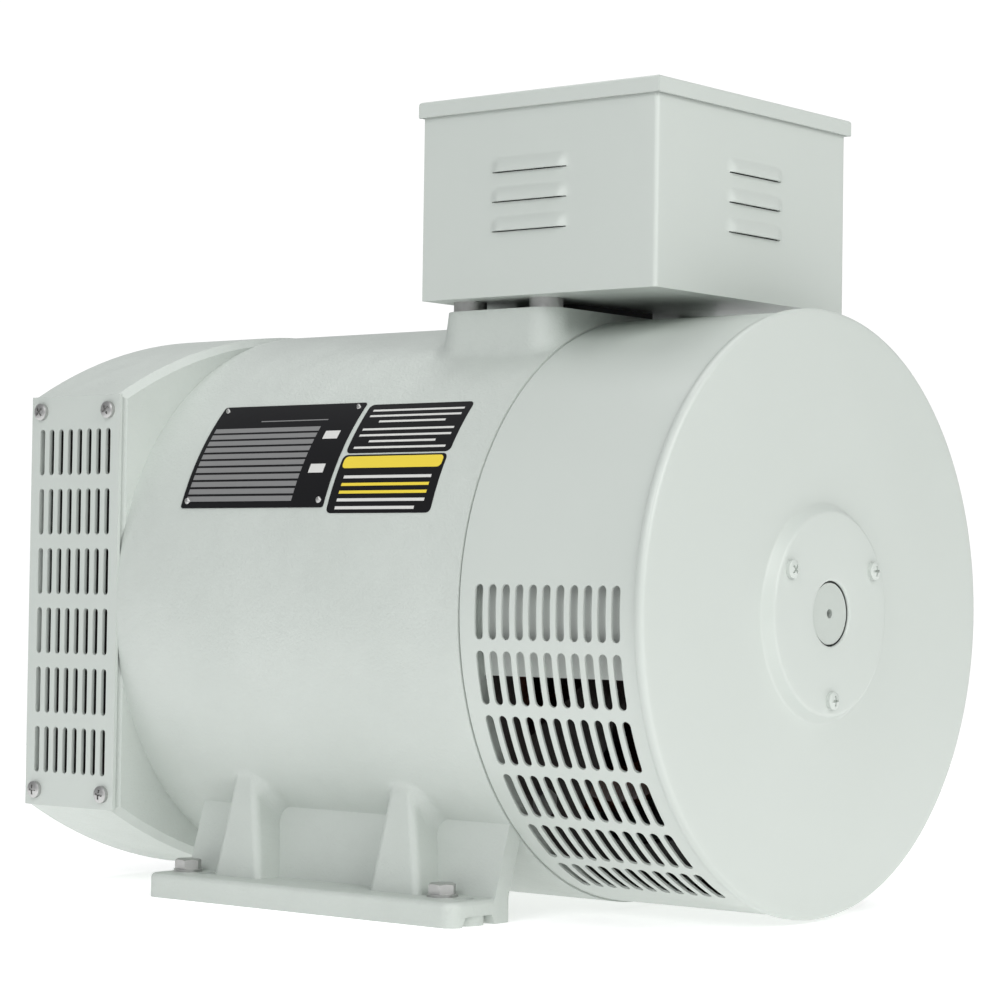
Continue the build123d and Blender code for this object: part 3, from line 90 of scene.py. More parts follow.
class Finish:
    """One material and the nodes that make its surface."""

    def __init__(self, name, **constants):
        self.material = bpy.data.materials.new(name)
        self.material.use_nodes = True
        self.tree = self.material.node_tree
        self.tree.nodes.clear()
        self.surface = self.add("ShaderNodeBsdfPrincipled", {}, {})
        output = self.add("ShaderNodeOutputMaterial", {}, {})
        self.tree.links.new(self.surface.outputs[0], output.inputs["Surface"])
        for socket, value in constants.items():
            self.surface.inputs[socket.replace("_", " ")].default_value = value
        self.place = self.add("ShaderNodeTexCoord", {}, {}).outputs["Object"]

    def add(self, kind, settings, sockets):
        node = self.tree.nodes.new(kind)
        for name, value in settings.items():
            setattr(node, name, value)
        for name, value in sockets.items():
            if isinstance(value, Wire):
                value = value.socket
            if isinstance(value, bpy.types.NodeSocket):
                self.tree.links.new(value, node.inputs[name])
            else:
                node.inputs[name].default_value = value
        return node

    def noise(self, size, detail=2.0, roughness=0.5, place=None):
        """Smooth noise from 0 to 1, whose lumps are about size metres across."""
        sockets = {"Vector": place or self.place, "Scale": 1.0 / size}
        sockets |= {"Detail": detail, "Roughness": roughness}
        return Wire(self, self.add("ShaderNodeTexNoise", {}, sockets).outputs["Fac"])

    def axis(self, index):
        split = self.add("ShaderNodeSeparateXYZ", {}, {0: self.place})
        return Wire(self, split.outputs[index])

    def stretched(self, factors):
        """Places multiplied along each axis, so that noise is drawn out along the small ones."""
        node = self.add("ShaderNodeVectorMath", {"operation": "MULTIPLY"}, {0: self.place, 1: factors})
        return node.outputs[0]

    def mix(self, amount, first, second):
        """Two colours mixed by an amount; colours are triples or sockets."""
        node = self.add("ShaderNodeMix", {"data_type": "RGBA"}, {"Factor": amount})
        for name, colour in (("A", first), ("B", second)):
            socket = [s for s in node.inputs if s.name == name and s.type == "RGBA"][0]
            if isinstance(colour, bpy.types.NodeSocket):
                self.tree.links.new(colour, socket)
            else:
                socket.default_value = (*colour, 1.0)
        return [s for s in node.outputs if s.type == "RGBA"][0]

    def colour(self, value):
        """Base colour from a triple or a socket."""
        if isinstance(value, tuple):
            self.surface.inputs["Base Color"].default_value = (*value, 1.0)
        else:
            self.tree.links.new(value, self.surface.inputs["Base Color"])

    def rough(self, wire):
        self.tree.links.new(wire.socket, self.surface.inputs["Roughness"])

    def bump(self, height, depth):
        """Bump from a height of 0 to 1, whose full range stands for depth metres."""
        node = self.add("ShaderNodeBump", {}, {"Height": height, "Distance": depth, "Strength": 1.0})
        self.tree.links.new(node.outputs[0], self.surface.inputs["Normal"])

    def dress(self, *pieces):
        for piece in pieces:
            piece.data.materials.clear()
            piece.data.materials.append(self.material)


def cast_enamel(name, base, thin_coat):
    """Enamel over a sand casting, from a base colour towards the colour of a thin coat."""
    finish = Finish(name, Specular_IOR_Level=0.5)
    cloud = finish.noise(0.060, detail=4.0)
    thin = ((cloud - 0.35) * 2.2).clamped()
    finish.colour(finish.mix(thin * 0.55, base, thin_coat))
    finish.rough(0.36 + finish.noise(0.012, detail=3.0) * 0.16)
    waves = finish.noise(CAST_WAVE, detail=2.0)
    sand = finish.noise(SAND_GRAIN, detail=3.0, roughness=0.6)
    finish.bump(waves * 0.8 + sand * 0.2, 0.0016)
    return finish


cast_paint = cast_enamel("cast_enamel", ENAMEL, ENAMEL_THIN)
cast_paint.dress(nodes["stator_frame"], nodes["drive_bearing_cap"])

# The drive-end bracket is a cast hood over the fan. It is enamelled outside; its cavity is painted
# near-black as painted shade over its red oxide primer, so it reads dark through the vent plates.
HOOD_FRONT_X = -214.0
HOOD_WALL = 7.0
HOOD_CAVITY_END = -150.5
HOOD_CAVITY_Y = 148.0
HOOD_ARC = 300.6
HOOD_ARC_OFFSET = 149.5
# Near-black painted shade for the unlit insides of the hood, the rear bracket's face and the covers.
CAVITY_PAINTED_SHADE = (0.030, 0.022, 0.020)


def hood_enamel():
    finish = cast_enamel("hood_enamel", ENAMEL, ENAMEL_THIN)
    x, y, z = (finish.axis(i) for i in range(3))
    z = z - SHAFT_Z * MM
    reach = (HOOD_ARC * MM) ** 2
    upper = y * y + (z + HOOD_ARC_OFFSET * MM) * (z + HOOD_ARC_OFFSET * MM) < reach
    lower = y * y + (z - HOOD_ARC_OFFSET * MM) * (z - HOOD_ARC_OFFSET * MM) < reach
    across = (y * y) < (HOOD_CAVITY_Y * MM) ** 2
    behind_front = x > (HOOD_FRONT_X + HOOD_WALL - 0.5) * MM
    before_rim = x < HOOD_CAVITY_END * MM
    inside = upper * lower * across * behind_front * before_rim
    cloud = finish.noise(0.060, detail=4.0)
    enamel = finish.mix(((cloud - 0.35) * 1.2).clamped(), ENAMEL, ENAMEL_THIN)
    # Painted shade: the hood's cavity is coloured near-black.
    finish.colour(finish.mix(inside, enamel, CAVITY_PAINTED_SHADE))
    return finish


hood_enamel().dress(nodes["drive_end_bracket"])

# The rear bracket is a windowed casting that carries the rear bearing. Its rim is enamelled;
# its face is painted near-black, as painted shade seen through the drum's slots.
RIM_RADIUS = 149.0


def rear_bracket_finish():
    finish = cast_enamel("rear_bracket_painted_shade", CAVITY_PAINTED_SHADE, ENAMEL_THIN)
    y, z = finish.axis(1), finish.axis(2) - SHAFT_Z * MM
    rim = (y * y + z * z) > (RIM_RADIUS * MM) ** 2
    # Painted shade: the face inside the rim is near-black, the rim is enamel.
    finish.colour(finish.mix(rim, CAVITY_PAINTED_SHADE, ENAMEL_THIN))
    return finish


rear_bracket_finish().dress(nodes["rear_end_bracket"])

# The vent plates close the hood's flat flanks. Each is 2 mm steel plate, punched with six rows of
# eight obround slots, enamelled outside and held by four pan-head screws.
PEEL_SIZE = 0.0035
VENT_CENTRE_X = -178.5
VENT_FACE_Y = 157.5
VENT_LENGTH = 71.0
VENT_HALF_HEIGHT = 115.2
VENT_THICKNESS = 2.0
VENT_PITCH = (7.6, 33.5)
VENT_COUNT = (8, 6)
VENT_SLOT = (3.9, 26.0)
VENT_DEBURR = 0.25
CRISP_ANGLE = 34.0


def sheet_enamel(name):
    """Enamel on smooth rolled steel, glossier than on a casting, with a fine orange peel."""
    finish = Finish(name, Specular_IOR_Level=0.5)
    cloud = finish.noise(0.120, detail=3.0)
    finish.colour(finish.mix(((cloud - 0.4) * 1.5).clamped() * 0.4, ENAMEL, ENAMEL_THIN))
    finish.rough(0.30 + finish.noise(0.020, detail=2.0) * 0.12)
    peel = finish.noise(PEEL_SIZE, detail=1.0)
    sway = finish.noise(0.080, detail=0.0)
    finish.bump(peel * 0.05 + sway * 0.95, 0.0007)
    return finish


class Sheet:
    """A sheet drawn flat in (u, v) millimetres, as quads that share their points."""

    def __init__(self):
        self.places, self.index, self.faces = [], {}, []

    def at(self, u, v):
        key = (round(u, 3), round(v, 3))
        if key not in self.index:
            self.index[key] = len(self.places)
            self.places.append((u, v))
        return self.index[key]

    def fill(self, us, vs):
        """Plain quads between every pair of neighbouring lines."""
        for u0, u1 in zip(us, us[1:]):
            for v0, v1 in zip(vs, vs[1:]):
                self.faces.append([self.at(u0, v0), self.at(u1, v0), self.at(u1, v1), self.at(u0, v1)])

    def slot(self, us, vs, width, height):
        """A cell of lines us and vs with an obround slot left open in its middle."""
        middle_u, middle_v = (us[0] + us[-1]) / 2, (vs[0] + vs[-1]) / 2
        radius, straight = width / 2, (height - width) / 2
        turns = len(us) + 1
        rim = [(middle_u - radius, v) for v in vs[1:-1]]
        edge = [(us[0], v) for v in vs[1:-1]]
        for step in range(1, turns):
            angle = math.pi * (1 - step / turns)
            rim.append((middle_u + radius * math.cos(angle), middle_v + straight + radius * math.sin(angle)))
            edge.append((us[step - 1], vs[-1]))
        rim += [(middle_u + radius, v) for v in reversed(vs[1:-1])]
        edge += [(us[-1], v) for v in reversed(vs[1:-1])]
        for step in range(1, turns):
            angle = -math.pi * step / turns
            rim.append((middle_u + radius * math.cos(angle), middle_v - straight + radius * math.sin(angle)))
            edge.append((us[-step], vs[0]))
        for i in range(len(rim)):
            j = (i + 1) % len(rim)
            self.faces.append([self.at(*edge[i]), self.at(*rim[i]), self.at(*rim[j]), self.at(*edge[j])])

    def slot_lines(self, centre_u, pitch_u, centre_v, pitch_v, width, height):
        """The lines of a slotted cell: columns evenly spaced, rows along the slot's straight sides."""
        straight = (height - width) / 2
        us = [centre_u + pitch_u * step / 4 for step in (-2, -1, 0, 1, 2)]
        vs = [centre_v - pitch_v / 2]
        vs += [centre_v + straight * step / 2 for step in (-2, -1, 0, 1, 2)]
        return us, vs + [centre_v + pitch_v / 2]


def piece_from(name, points, faces, body, finish, smooth=False, replaced=()):
    """A mesh piece from points in millimetres, riding on a body."""
    mesh = bpy.data.meshes.new(name)
    mesh.from_pydata([tuple(value * MM for value in point) for point in points], [], faces)
    mesh.update()
    mesh.polygons.foreach_set("use_smooth", [smooth] * len(mesh.polygons))
    piece = bpy.data.objects.new(name, mesh)
    bpy.context.scene.collection.objects.link(piece)
    finish.dress(piece)
    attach(piece, body)
    if replaced:
        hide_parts(*replaced)
    return piece


def thicken(piece, thickness, inner_finish=None):
    """Gives a sheet its thickness inwards, with its own finish on the inside."""
    solid = piece.modifiers.new("thickness", "SOLIDIFY")
    solid.thickness = thickness * MM
    solid.offset = -1.0
    if inner_finish:
        piece.data.materials.append(inner_finish.material)
        solid.material_offset = 1
    split = piece.modifiers.new("crisp_edges", "EDGE_SPLIT")
    split.split_angle = math.radians(CRISP_ANGLE)


def painted_inside_shade():
    """Near-black painted shade on the inside of covers, with a little random tone."""
    finish = Finish("inside_painted_shade", Specular_IOR_Level=0.2)
    finish.colour(finish.mix(finish.noise(0.030), CAVITY_PAINTED_SHADE, (0.045, 0.036, 0.033)))
    finish.rough(0.62 + finish.noise(0.010) * 0.2)
    return finish


sheet_paint = sheet_enamel("sheet_enamel")
# Painted shade for the inner sides of the drum and the terminal box walls.
inside_shade = painted_inside_shade()


def vent_plate(name, side, node):
    """One punched plate, drawn flat and stood against the flank on the -Y (-1) or +Y (1) side."""
    sheet = Sheet()
    half_u, half_v = VENT_LENGTH / 2, VENT_HALF_HEIGHT
    columns = [(column - (VENT_COUNT[0] - 1) / 2) * VENT_PITCH[0] for column in range(VENT_COUNT[0])]
    rows = [(row - (VENT_COUNT[1] - 1) / 2) * VENT_PITCH[1] for row in range(VENT_COUNT[1])]
    all_us, all_vs = [-half_u], [-half_v]
    for v in rows:
        for u in columns:
            us, vs = sheet.slot_lines(u, VENT_PITCH[0], v, VENT_PITCH[1], *VENT_SLOT)
            sheet.slot(us, vs, *VENT_SLOT)
            if v == rows[0]:
                all_us += us if u == columns[0] else us[1:]
        all_vs += vs if v == rows[0] else vs[1:]
    all_us, all_vs = all_us + [half_u], all_vs + [half_v]
    sheet.fill(all_us[:2], all_vs)
    sheet.fill(all_us[-2:], all_vs)
    sheet.fill(all_us[1:-1], all_vs[:2])
    sheet.fill(all_us[1:-1], all_vs[-2:])
    points = [(VENT_CENTRE_X - side * u, side * VENT_FACE_Y, SHAFT_Z + v) for u, v in sheet.places]
    plate = piece_from(name, points, sheet.faces, "housing", sheet_paint, replaced=[node])
    thicken(plate, VENT_THICKNESS)
    edge = plate.modifiers.new("deburred_edge", "BEVEL")
    edge.width = VENT_DEBURR * MM
    edge.segments = 2
    edge.limit_method = "ANGLE"
    edge.angle_limit = math.radians(60)


vent_plate("vent_plate_punched_near", -1, "vent_plate_near")
vent_plate("vent_plate_punched_far", 1, "vent_plate_far")

# The drum over the brush gear is rolled from 1.2 mm sheet, with six rows of eleven slots punched
# down each flank. It is enamelled outside, painted near-black inside as painted shade, and slips over the
# rear bracket.
SEAM_X = 102.8
DRUM_END_X = 215.5
DRUM_RADIUS = 156.7
DRUM_SHEET = 1.2
DRUM_SLOT_START = 9.7
DRUM_PITCH = (8.5, 12.2)
DRUM_COUNT = (11, 6)
DRUM_SLOT = (5.2, 10.2)
DRUM_SLOT_TOP = 4.7
DRUM_EDGE = 2.0
DRUM_FACET = 3.0
FULL_TURN = 360.0


def drum_shell():
    """Slots drawn flat in millimetres along the drum and round it, then wrapped."""
    sheet = Sheet()
    arc = math.radians(1) * DRUM_RADIUS
    slot = (DRUM_SLOT[0], DRUM_SLOT[1] * arc)
    first = SEAM_X + DRUM_SLOT_START + DRUM_SLOT[0] / 2
    columns = [first + column * DRUM_PITCH[0] for column in range(DRUM_COUNT[0])]
    top = DRUM_SLOT_TOP - DRUM_SLOT[1] / 2
    flank = [top - row * DRUM_PITCH[1] for row in reversed(range(DRUM_COUNT[1]))]
    flanks = [[angle * arc for angle in flank], [(FULL_TURN / 2 - angle) * arc for angle in reversed(flank)]]
    us = [SEAM_X, SEAM_X + DRUM_EDGE]
    for u in columns:
        cell_us, _ = sheet.slot_lines(u, DRUM_PITCH[0], 0, DRUM_PITCH[1] * arc, *slot)
        us += cell_us if u == columns[0] else cell_us[1:]
    us += [DRUM_END_X]
    lines = []
    for rows in flanks:
        field = []
        for v in rows:
            for u in columns:
                cell_us, cell_vs = sheet.slot_lines(u, DRUM_PITCH[0], v, DRUM_PITCH[1] * arc, *slot)
                sheet.slot(cell_us, cell_vs, *slot)
            field += cell_vs if v == rows[0] else cell_vs[1:]
        sheet.fill(us[:3], field)
        sheet.fill(us[-2:], field)
        lines.append(field)
    for start, end in ((lines[0][-1], lines[1][0]), (lines[1][-1], lines[0][0] + FULL_TURN * arc)):
        steps = max(2, round((end - start) / (DRUM_FACET * arc)))
        sheet.fill(us, [start + (end - start) * step / steps for step in range(steps + 1)])
    points = []
    for u, v in sheet.places:
        angle = v / DRUM_RADIUS
        points.append((u, -DRUM_RADIUS * math.cos(angle), SHAFT_Z + DRUM_RADIUS * math.sin(angle)))
    shell = piece_from("rear_drum_rolled", points, sheet.faces, "housing", sheet_paint,
                       smooth=True, replaced=["rear_cover_shell"])
    weld = shell.modifiers.new("joined_seam", "WELD")
    weld.merge_threshold = 0.00002
    # The inner side is painted near-black, as painted shade inside the drum.
    thicken(shell, DRUM_SHEET, inside_shade)


drum_shell()

# The end cap is a pressed disc with a rolled rim over the drum's end and a raised boss in its
# middle, round the opening for the shaft's tail. The guard behind the upper slots is thin sheet.
CAP_FACE_X = 217.0
CAP_RADIUS = 158.2
CAP_RIM_X = 212.0
CAP_CORNER = 2.6
BOSS_RADIUS = 56.0
BOSS_RISE = 6.0
BOSS_SLOPE = 4.0
BOSS_BEND = 3.0
CAP_HOLE = 17.0
CAP_LIP = 1.2
CAP_EDGE = 0.3
CAP_SHEET = 1.5
CAP_RINGS = (152.0, 130.0, 100.0, 75.0, 62.0)
BOSS_RINGS = (44.0, 30.0, CAP_HOLE + 1.6)
CAP_SEGMENTS = 160


def lathe(profile, segments):
    """Points and faces of a profile of (x, radius) pairs turned about the shaft axis."""
    points, faces = [], []
    for x, radius in profile:
        for step in range(segments):
            angle = 2 * math.pi * step / segments
            points.append((x, radius * math.cos(angle), SHAFT_Z + radius * math.sin(angle)))
    for ring in range(len(profile) - 1):
        for step in range(segments):
            after = (step + 1) % segments
            low, high = ring * segments, (ring + 1) * segments
            faces.append([low + step, low + after, high + after, high + step])
    return points, faces


def arc_points(centre, radius, start, end, steps):
    """Points along an arc, with angles in degrees from the first axis."""
    angles = [math.radians(start + (end - start) * step / steps) for step in range(steps + 1)]
    return [(centre[0] + radius * math.cos(angle), centre[1] + radius * math.sin(angle)) for angle in angles]


def end_cap():
    """The pressed cap, turned from its rim inwards over the face and the boss to the opening."""
    profile = [(CAP_RIM_X, CAP_RADIUS - CAP_SHEET), (CAP_RIM_X, CAP_RADIUS - CAP_EDGE)]
    profile.append((CAP_RIM_X + CAP_EDGE, CAP_RADIUS))
    profile += arc_points((CAP_FACE_X - CAP_CORNER, CAP_RADIUS - CAP_CORNER), CAP_CORNER, 90, 0, 6)
    profile += [(CAP_FACE_X, radius) for radius in CAP_RINGS]
    foot = (CAP_FACE_X + BOSS_BEND, BOSS_RADIUS + BOSS_BEND * 0.8)
    crown = (CAP_FACE_X + BOSS_RISE - BOSS_BEND, BOSS_RADIUS - BOSS_SLOPE - 0.6)
    profile += arc_points(foot, BOSS_BEND, 180, 225, 4) + arc_points(crown, BOSS_BEND, 50, 0, 5)
    profile += [(CAP_FACE_X + BOSS_RISE, radius) for radius in BOSS_RINGS]
    lip = (CAP_FACE_X + BOSS_RISE - CAP_LIP, CAP_HOLE + CAP_LIP)
    profile += arc_points(lip, CAP_LIP, 0, -90, 4)[1:]
    profile += [(CAP_FACE_X + BOSS_RISE - CAP_SHEET, CAP_HOLE)]
    points, faces = lathe(profile, CAP_SEGMENTS)
    faces = [list(reversed(face)) for face in faces]
    piece_from("end_cap_pressed", points, faces, "housing", sheet_paint,
               smooth=True, replaced=["rear_cover_cap"])


end_cap()
sheet_paint.dress(nodes["rear_baffle"])

# The terminal box is folded from 1.5 mm sheet. Its near, rear and far walls turn round two rounded
# corners, each wall with three pressed louvres; the floor and the plain drive-end wall are seen
# through them only as darkness.
BOX_X = (17.0, 172.0)
BOX_HALF_Y = 88.5
BOX_Z = (324.6, 430.6)
BOX_SHEET = 1.5
BOX_CORNER = 2.2
LOUVRE_LENGTH = 53.0
LOUVRE_DROP = 40.0
LOUVRE_PITCH = 15.7
LOUVRE_COUNT = 3
LOUVRE_HEIGHT = 7.5
LOUVRE_MARGIN = 1.0
LOUVRE_SLIT = 0.5
LOUVRE_BELOW = 1.4
LOUVRE_RISE = 2.4
LOUVRE_SHIFT = 5.0
LOUVRE_END = 7.0
LOUVRE_STEP = 1.6
STRAIGHT_WALL = 0.99


def smooth_step(value):
    value = min(max(value, 0.0), 1.0)
    return value * value * (3 - 2 * value)


def box_wrap():
    """The outer line of the three walls and their corners, as ((x, y), outward direction)."""
    path = [((BOX_X[0], -BOX_HALF_Y), (0, -1))]
    right = BOX_X[1]
    for centre, start in (((right - BOX_CORNER, -BOX_HALF_Y + BOX_CORNER), -90),
                          ((right - BOX_CORNER, BOX_HALF_Y - BOX_CORNER), 0)):
        for step in range(6):
            angle = math.radians(start + 90 * step / 5)
            way = (math.cos(angle), math.sin(angle))
            path.append(((centre[0] + BOX_CORNER * way[0], centre[1] + BOX_CORNER * way[1]), way))
    path.append(((BOX_X[0], BOX_HALF_Y), (0, 1)))
    return path


def louvre_rise(along, below_top):
    """How far the sheet stands out, at a distance along from the louvres' middle and down from the top."""
    ends = smooth_step((LOUVRE_LENGTH / 2 - abs(along)) / LOUVRE_END)
    for index in range(LOUVRE_COUNT):
        lip = LOUVRE_DROP + index * LOUVRE_PITCH
        rise = 1 - (lip - below_top) / LOUVRE_HEIGHT
        if 0 <= rise <= 1:
            return LOUVRE_RISE * ends * math.sin(rise * math.pi / 2)
    return 0.0


def along_wall(place, way, middle_x):
    """Distance along a straight wall from its louvres' middle, or None in a rounded corner."""
    if abs(way[1]) > STRAIGHT_WALL:
        return place[0] - middle_x
    return place[1] if abs(way[0]) > STRAIGHT_WALL else None


def louvred_walls():
    """The walls as one grid of points, pushed out at the louvres, with the slits' faces left out."""
    path = box_wrap()
    middle_x = (BOX_X[0] + BOX_X[1]) / 2 - LOUVRE_SHIFT
    height = BOX_Z[1] - BOX_Z[0]
    rows = [(0.0, False)]
    for index in range(LOUVRE_COUNT):
        lip = LOUVRE_DROP + index * LOUVRE_PITCH
        rows.append((lip - LOUVRE_HEIGHT - LOUVRE_MARGIN, False))
        rows += [(lip - LOUVRE_HEIGHT * (1 - step / 8), False) for step in range(9)]
        rows += [(lip + LOUVRE_SLIT, True), (lip + LOUVRE_BELOW, False)]
    rows.append((height, False))
    columns = []
    for (start, way), (end, next_way) in zip(path, path[1:]):
        length = math.dist(start, end)
        fine = length > 20
        steps = round(length / LOUVRE_STEP) if fine else 1
        for step in range(steps):
            share = step / steps
            place = [start[i] + (end[i] - start[i]) * share for i in range(2)]
            columns.append((place, way if step == 0 or fine else next_way))
    columns.append(path[-1])
    points, faces = [], []
    for below, _ in rows:
        for place, way in columns:
            along = along_wall(place, way, middle_x)
            rise = 0.0 if along is None else louvre_rise(along, below)
            points.append((place[0] + way[0] * rise, place[1] + way[1] * rise, BOX_Z[1] - below))
    width = len(columns)
    for row in range(len(rows) - 1):
        for column in range(width - 1):
            way = columns[column][1]
            ends = [along_wall(columns[i][0], way, middle_x) for i in (column, column + 1)]
            slit = rows[row + 1][1] and None not in ends
            if not (slit and max(abs(end) for end in ends) < LOUVRE_LENGTH / 2 - LOUVRE_MARGIN):
                low = row * width + column
                faces.append([low, low + width, low + width + 1, low + 1])
    walls = piece_from("terminal_box_walls", points, faces, "housing", sheet_paint,
                       smooth=True, replaced=["box_panel_near", "box_panel_far", "box_panel_rear"])
    # The walls' inner side is painted near-black, as painted shade inside the box.
    thicken(walls, BOX_SHEET, inside_shade)


louvred_walls()
sheet_paint.dress(nodes["terminal_box"])

# The lid is a shallow folded tray dropped over the box's rim. Its skirts meet at narrow open
# corners, and four small pan-head screws hold it down.
LID_X = (14.5, 174.5)
LID_HALF_Y = 91.0
LID_TOP = 432.1
LID_SKIRT = 8.5
LID_FOLD = 1.8
LID_GAP = 0.35


def folded_lid():
    """The flat top and four skirts, each carried round its fold along one side."""
    points, faces = [], []
    middle = ((LID_X[0] + LID_X[1]) / 2, 0.0)
    half = ((LID_X[1] - LID_X[0]) / 2, LID_HALF_Y)
    bends = [math.radians(15 * step) for step in range(1, 7)]
    section = [(0.0, 0.0)]
    section += [(LID_FOLD * math.sin(bend), LID_FOLD * (1 - math.cos(bend))) for bend in bends]
    section += [(LID_FOLD, LID_SKIRT)]
    for turn in range(4):
        across, along = (0, 1) if turn % 2 == 0 else (1, 0)
        way = 1 if turn < 2 else -1
        rows = []
        for out, drop in section:
            row = []
            pull = LID_GAP if drop > 0 else 0.0
            reach = half[along] - LID_FOLD + out - pull
            for end in (-1, 1):
                place = [0.0, 0.0]
                place[across] = middle[across] + way * (half[across] - LID_FOLD + out)
                place[along] = middle[along] + end * reach
                row.append(len(points))
                points.append((place[0], place[1], LID_TOP - drop))
            rows.append(row)
        for upper, lower in zip(rows, rows[1:]):
            face = [upper[0], lower[0], lower[1], upper[1]]
            flip = (way > 0) == (across == 0)
            faces.append(face if flip else list(reversed(face)))
    corners = [(middle[0] + sx * (half[0] - LID_FOLD), sy * (half[1] - LID_FOLD), LID_TOP)
               for sx, sy in ((-1, -1), (1, -1), (1, 1), (-1, 1))]
    start = len(points)
    points += corners
    faces.append([start, start + 1, start + 2, start + 3])
    lid = piece_from("terminal_box_lid_folded", points, faces, "housing", sheet_paint,
                     smooth=False, replaced=["terminal_box_lid"])
    weld = lid.modifiers.new("joined_folds", "WELD")
    weld.merge_threshold = 0.00002
    thicken(lid, BOX_SHEET)


folded_lid()

# The pan-head screws are zinc-plated M5 and M4 machine screws with a pressed cross recess: eight in
# the vent plates, four in the lid, four in the bearing cap, and three under the cap's enamel.
PAN_M5 = (4.7, 3.2)
PAN_M4 = (3.6, 2.6)
ZINC = (0.60, 0.60, 0.59)
CROSS_ARM = 0.13
CROSS_REACH = 0.60
CROSS_DEPTH = 0.55


class Cluster:
    """Turned solids of one kind, gathered into one mesh."""

    def __init__(self):
        self.points, self.faces = [], []

    def add(self, rings, place, axis):
        """Rings are lists of (angle, radius, height), from the axis outwards and down to the seat."""
        way = Vector(axis)
        first = Vector((0, 0, 1)) if abs(way.z) < 0.9 else Vector((1, 0, 0))
        second = way.cross(first)
        start, count = len(self.points), len(rings[0])
        self.points.append(Vector(place) + way * rings[0][0][2])
        for ring in rings:
            for angle, radius, height in ring:
                side = first * math.cos(angle) + second * math.sin(angle)
                self.points.append(Vector(place) + side * radius + way * height)
        for step in range(count):
            after = (step + 1) % count
            self.faces.append([start, start + 1 + step, start + 1 + after])
            for low in range(start + 1, start + 1 + count * (len(rings) - 1), count):
                self.faces.append([low + after, low + step, low + count + step, low + count + after])

    def piece(self, name, finish, slot, node, crisp=CRISP_ANGLE):
        made = piece_from(name, self.points, self.faces, "housing", finish,
                          smooth=True, replaced=[node])
        split = made.modifiers.new("crisp_edges", "EDGE_SPLIT")
        split.split_angle = math.radians(crisp)
        return made


def pan_head(radius, height, turn):
    """Rings of a domed head with a cross recess in it."""
    corner = math.atan(CROSS_ARM / CROSS_REACH)
    inner = math.pi / 4
    offsets = [-corner, 0.0, corner, (corner + inner) / 2, inner, (math.pi / 2 - corner + inner) / 2]
    angles = [quarter * math.pi / 2 + offset for quarter in range(4) for offset in offsets]
    crown = height * 0.45

    def dome(share):
        return height - crown * (1 - math.sqrt(max(0.0, 1 - share * share)))

    cross = []
    for angle in angles:
        local = (angle + inner) % (math.pi / 2) - inner
        at_tip = abs(local) <= corner + 1e-6
        cross.append(CROSS_REACH / math.cos(local) if at_tip else CROSS_ARM / abs(math.sin(local)))
    floor = height * (1 - CROSS_DEPTH)
    rings = [[(a, radius * c * 0.45, floor) for a, c in zip(angles, cross)],
             [(a, radius * c * 0.86, floor + 0.25) for a, c in zip(angles, cross)],
             [(a, radius * c, dome(c)) for a, c in zip(angles, cross)]]
    for share in (0.70, 0.84, 0.94, 1.0):
        rings.append([(a, radius * share, dome(min(share, 0.97))) for a in angles])
    rings.append([(a, radius, 0.0) for a in angles])
    return [[(a + turn, r, h) for a, r, h in ring] for ring in rings]


def zinc_plate(name):
    """Bright zinc plate with a slightly uneven passivation."""
    finish = Finish(name, Metallic=1.0)
    cloud = finish.noise(0.006, detail=3.0)
    finish.colour(finish.mix(cloud, ZINC, tuple(value * 0.72 for value in ZINC)))
    finish.rough(0.30 + cloud * 0.20)
    return finish


def round_about(radius, start, count):
    angles = [math.radians(start + 360.0 * index / count) for index in range(count)]
    return [(radius * math.cos(angle), SHAFT_Z + radius * math.sin(angle)) for angle in angles]


zinc = zinc_plate("zinc_plate")
VENT_SCREW_X = (-205.5, -151.5)
VENT_SCREW_RISE = 106.71
LID_SCREW_X = (26.0, 163.0)
LID_SCREW_Y = 55.0
CAP_SCREW_CIRCLE = (45.0, 30.0, 3)
BEARING_CAP_FACE_X = -220.0
BEARING_SCREW_CIRCLE = (56.0, 45.0, 4)

vent_screws, lid_screws, cap_screws, bearing_screws = Cluster(), Cluster(), Cluster(), Cluster()
for index, (side, x, rise) in enumerate((side, x, rise) for side in (-1, 1) for x in VENT_SCREW_X
                                        for rise in (-VENT_SCREW_RISE, VENT_SCREW_RISE)):
    vent_screws.add(pan_head(*PAN_M5, index * 0.7), (x, side * VENT_FACE_Y, SHAFT_Z + rise), (0, side, 0))
for index, (x, y) in enumerate((x, y) for x in LID_SCREW_X for y in (-LID_SCREW_Y, LID_SCREW_Y)):
    lid_screws.add(pan_head(*PAN_M4, index * 0.9), (x, y, LID_TOP), (0, 0, 1))
for index, (y, z) in enumerate(round_about(*CAP_SCREW_CIRCLE)):
    cap_screws.add(pan_head(*PAN_M5, index * 0.8), (CAP_FACE_X + BOSS_RISE, y, z), (1, 0, 0))
for index, (y, z) in enumerate(round_about(*BEARING_SCREW_CIRCLE)):
    bearing_screws.add(pan_head(*PAN_M5, index * 0.6), (BEARING_CAP_FACE_X, y, z), (-1, 0, 0))
vent_screws.piece("vent_plate_pan_screws", zinc, "zinc_steel", "vent_plate_screws")
lid_screws.piece("lid_pan_screws", zinc, "zinc_steel", "lid_screws")
cap_screws.piece("cap_pan_screws", sheet_paint, "zinc_steel", "cap_screws")
bearing_screws.piece("bearing_cap_pan_screws", zinc, "zinc_steel", "bearing_cap_screws")

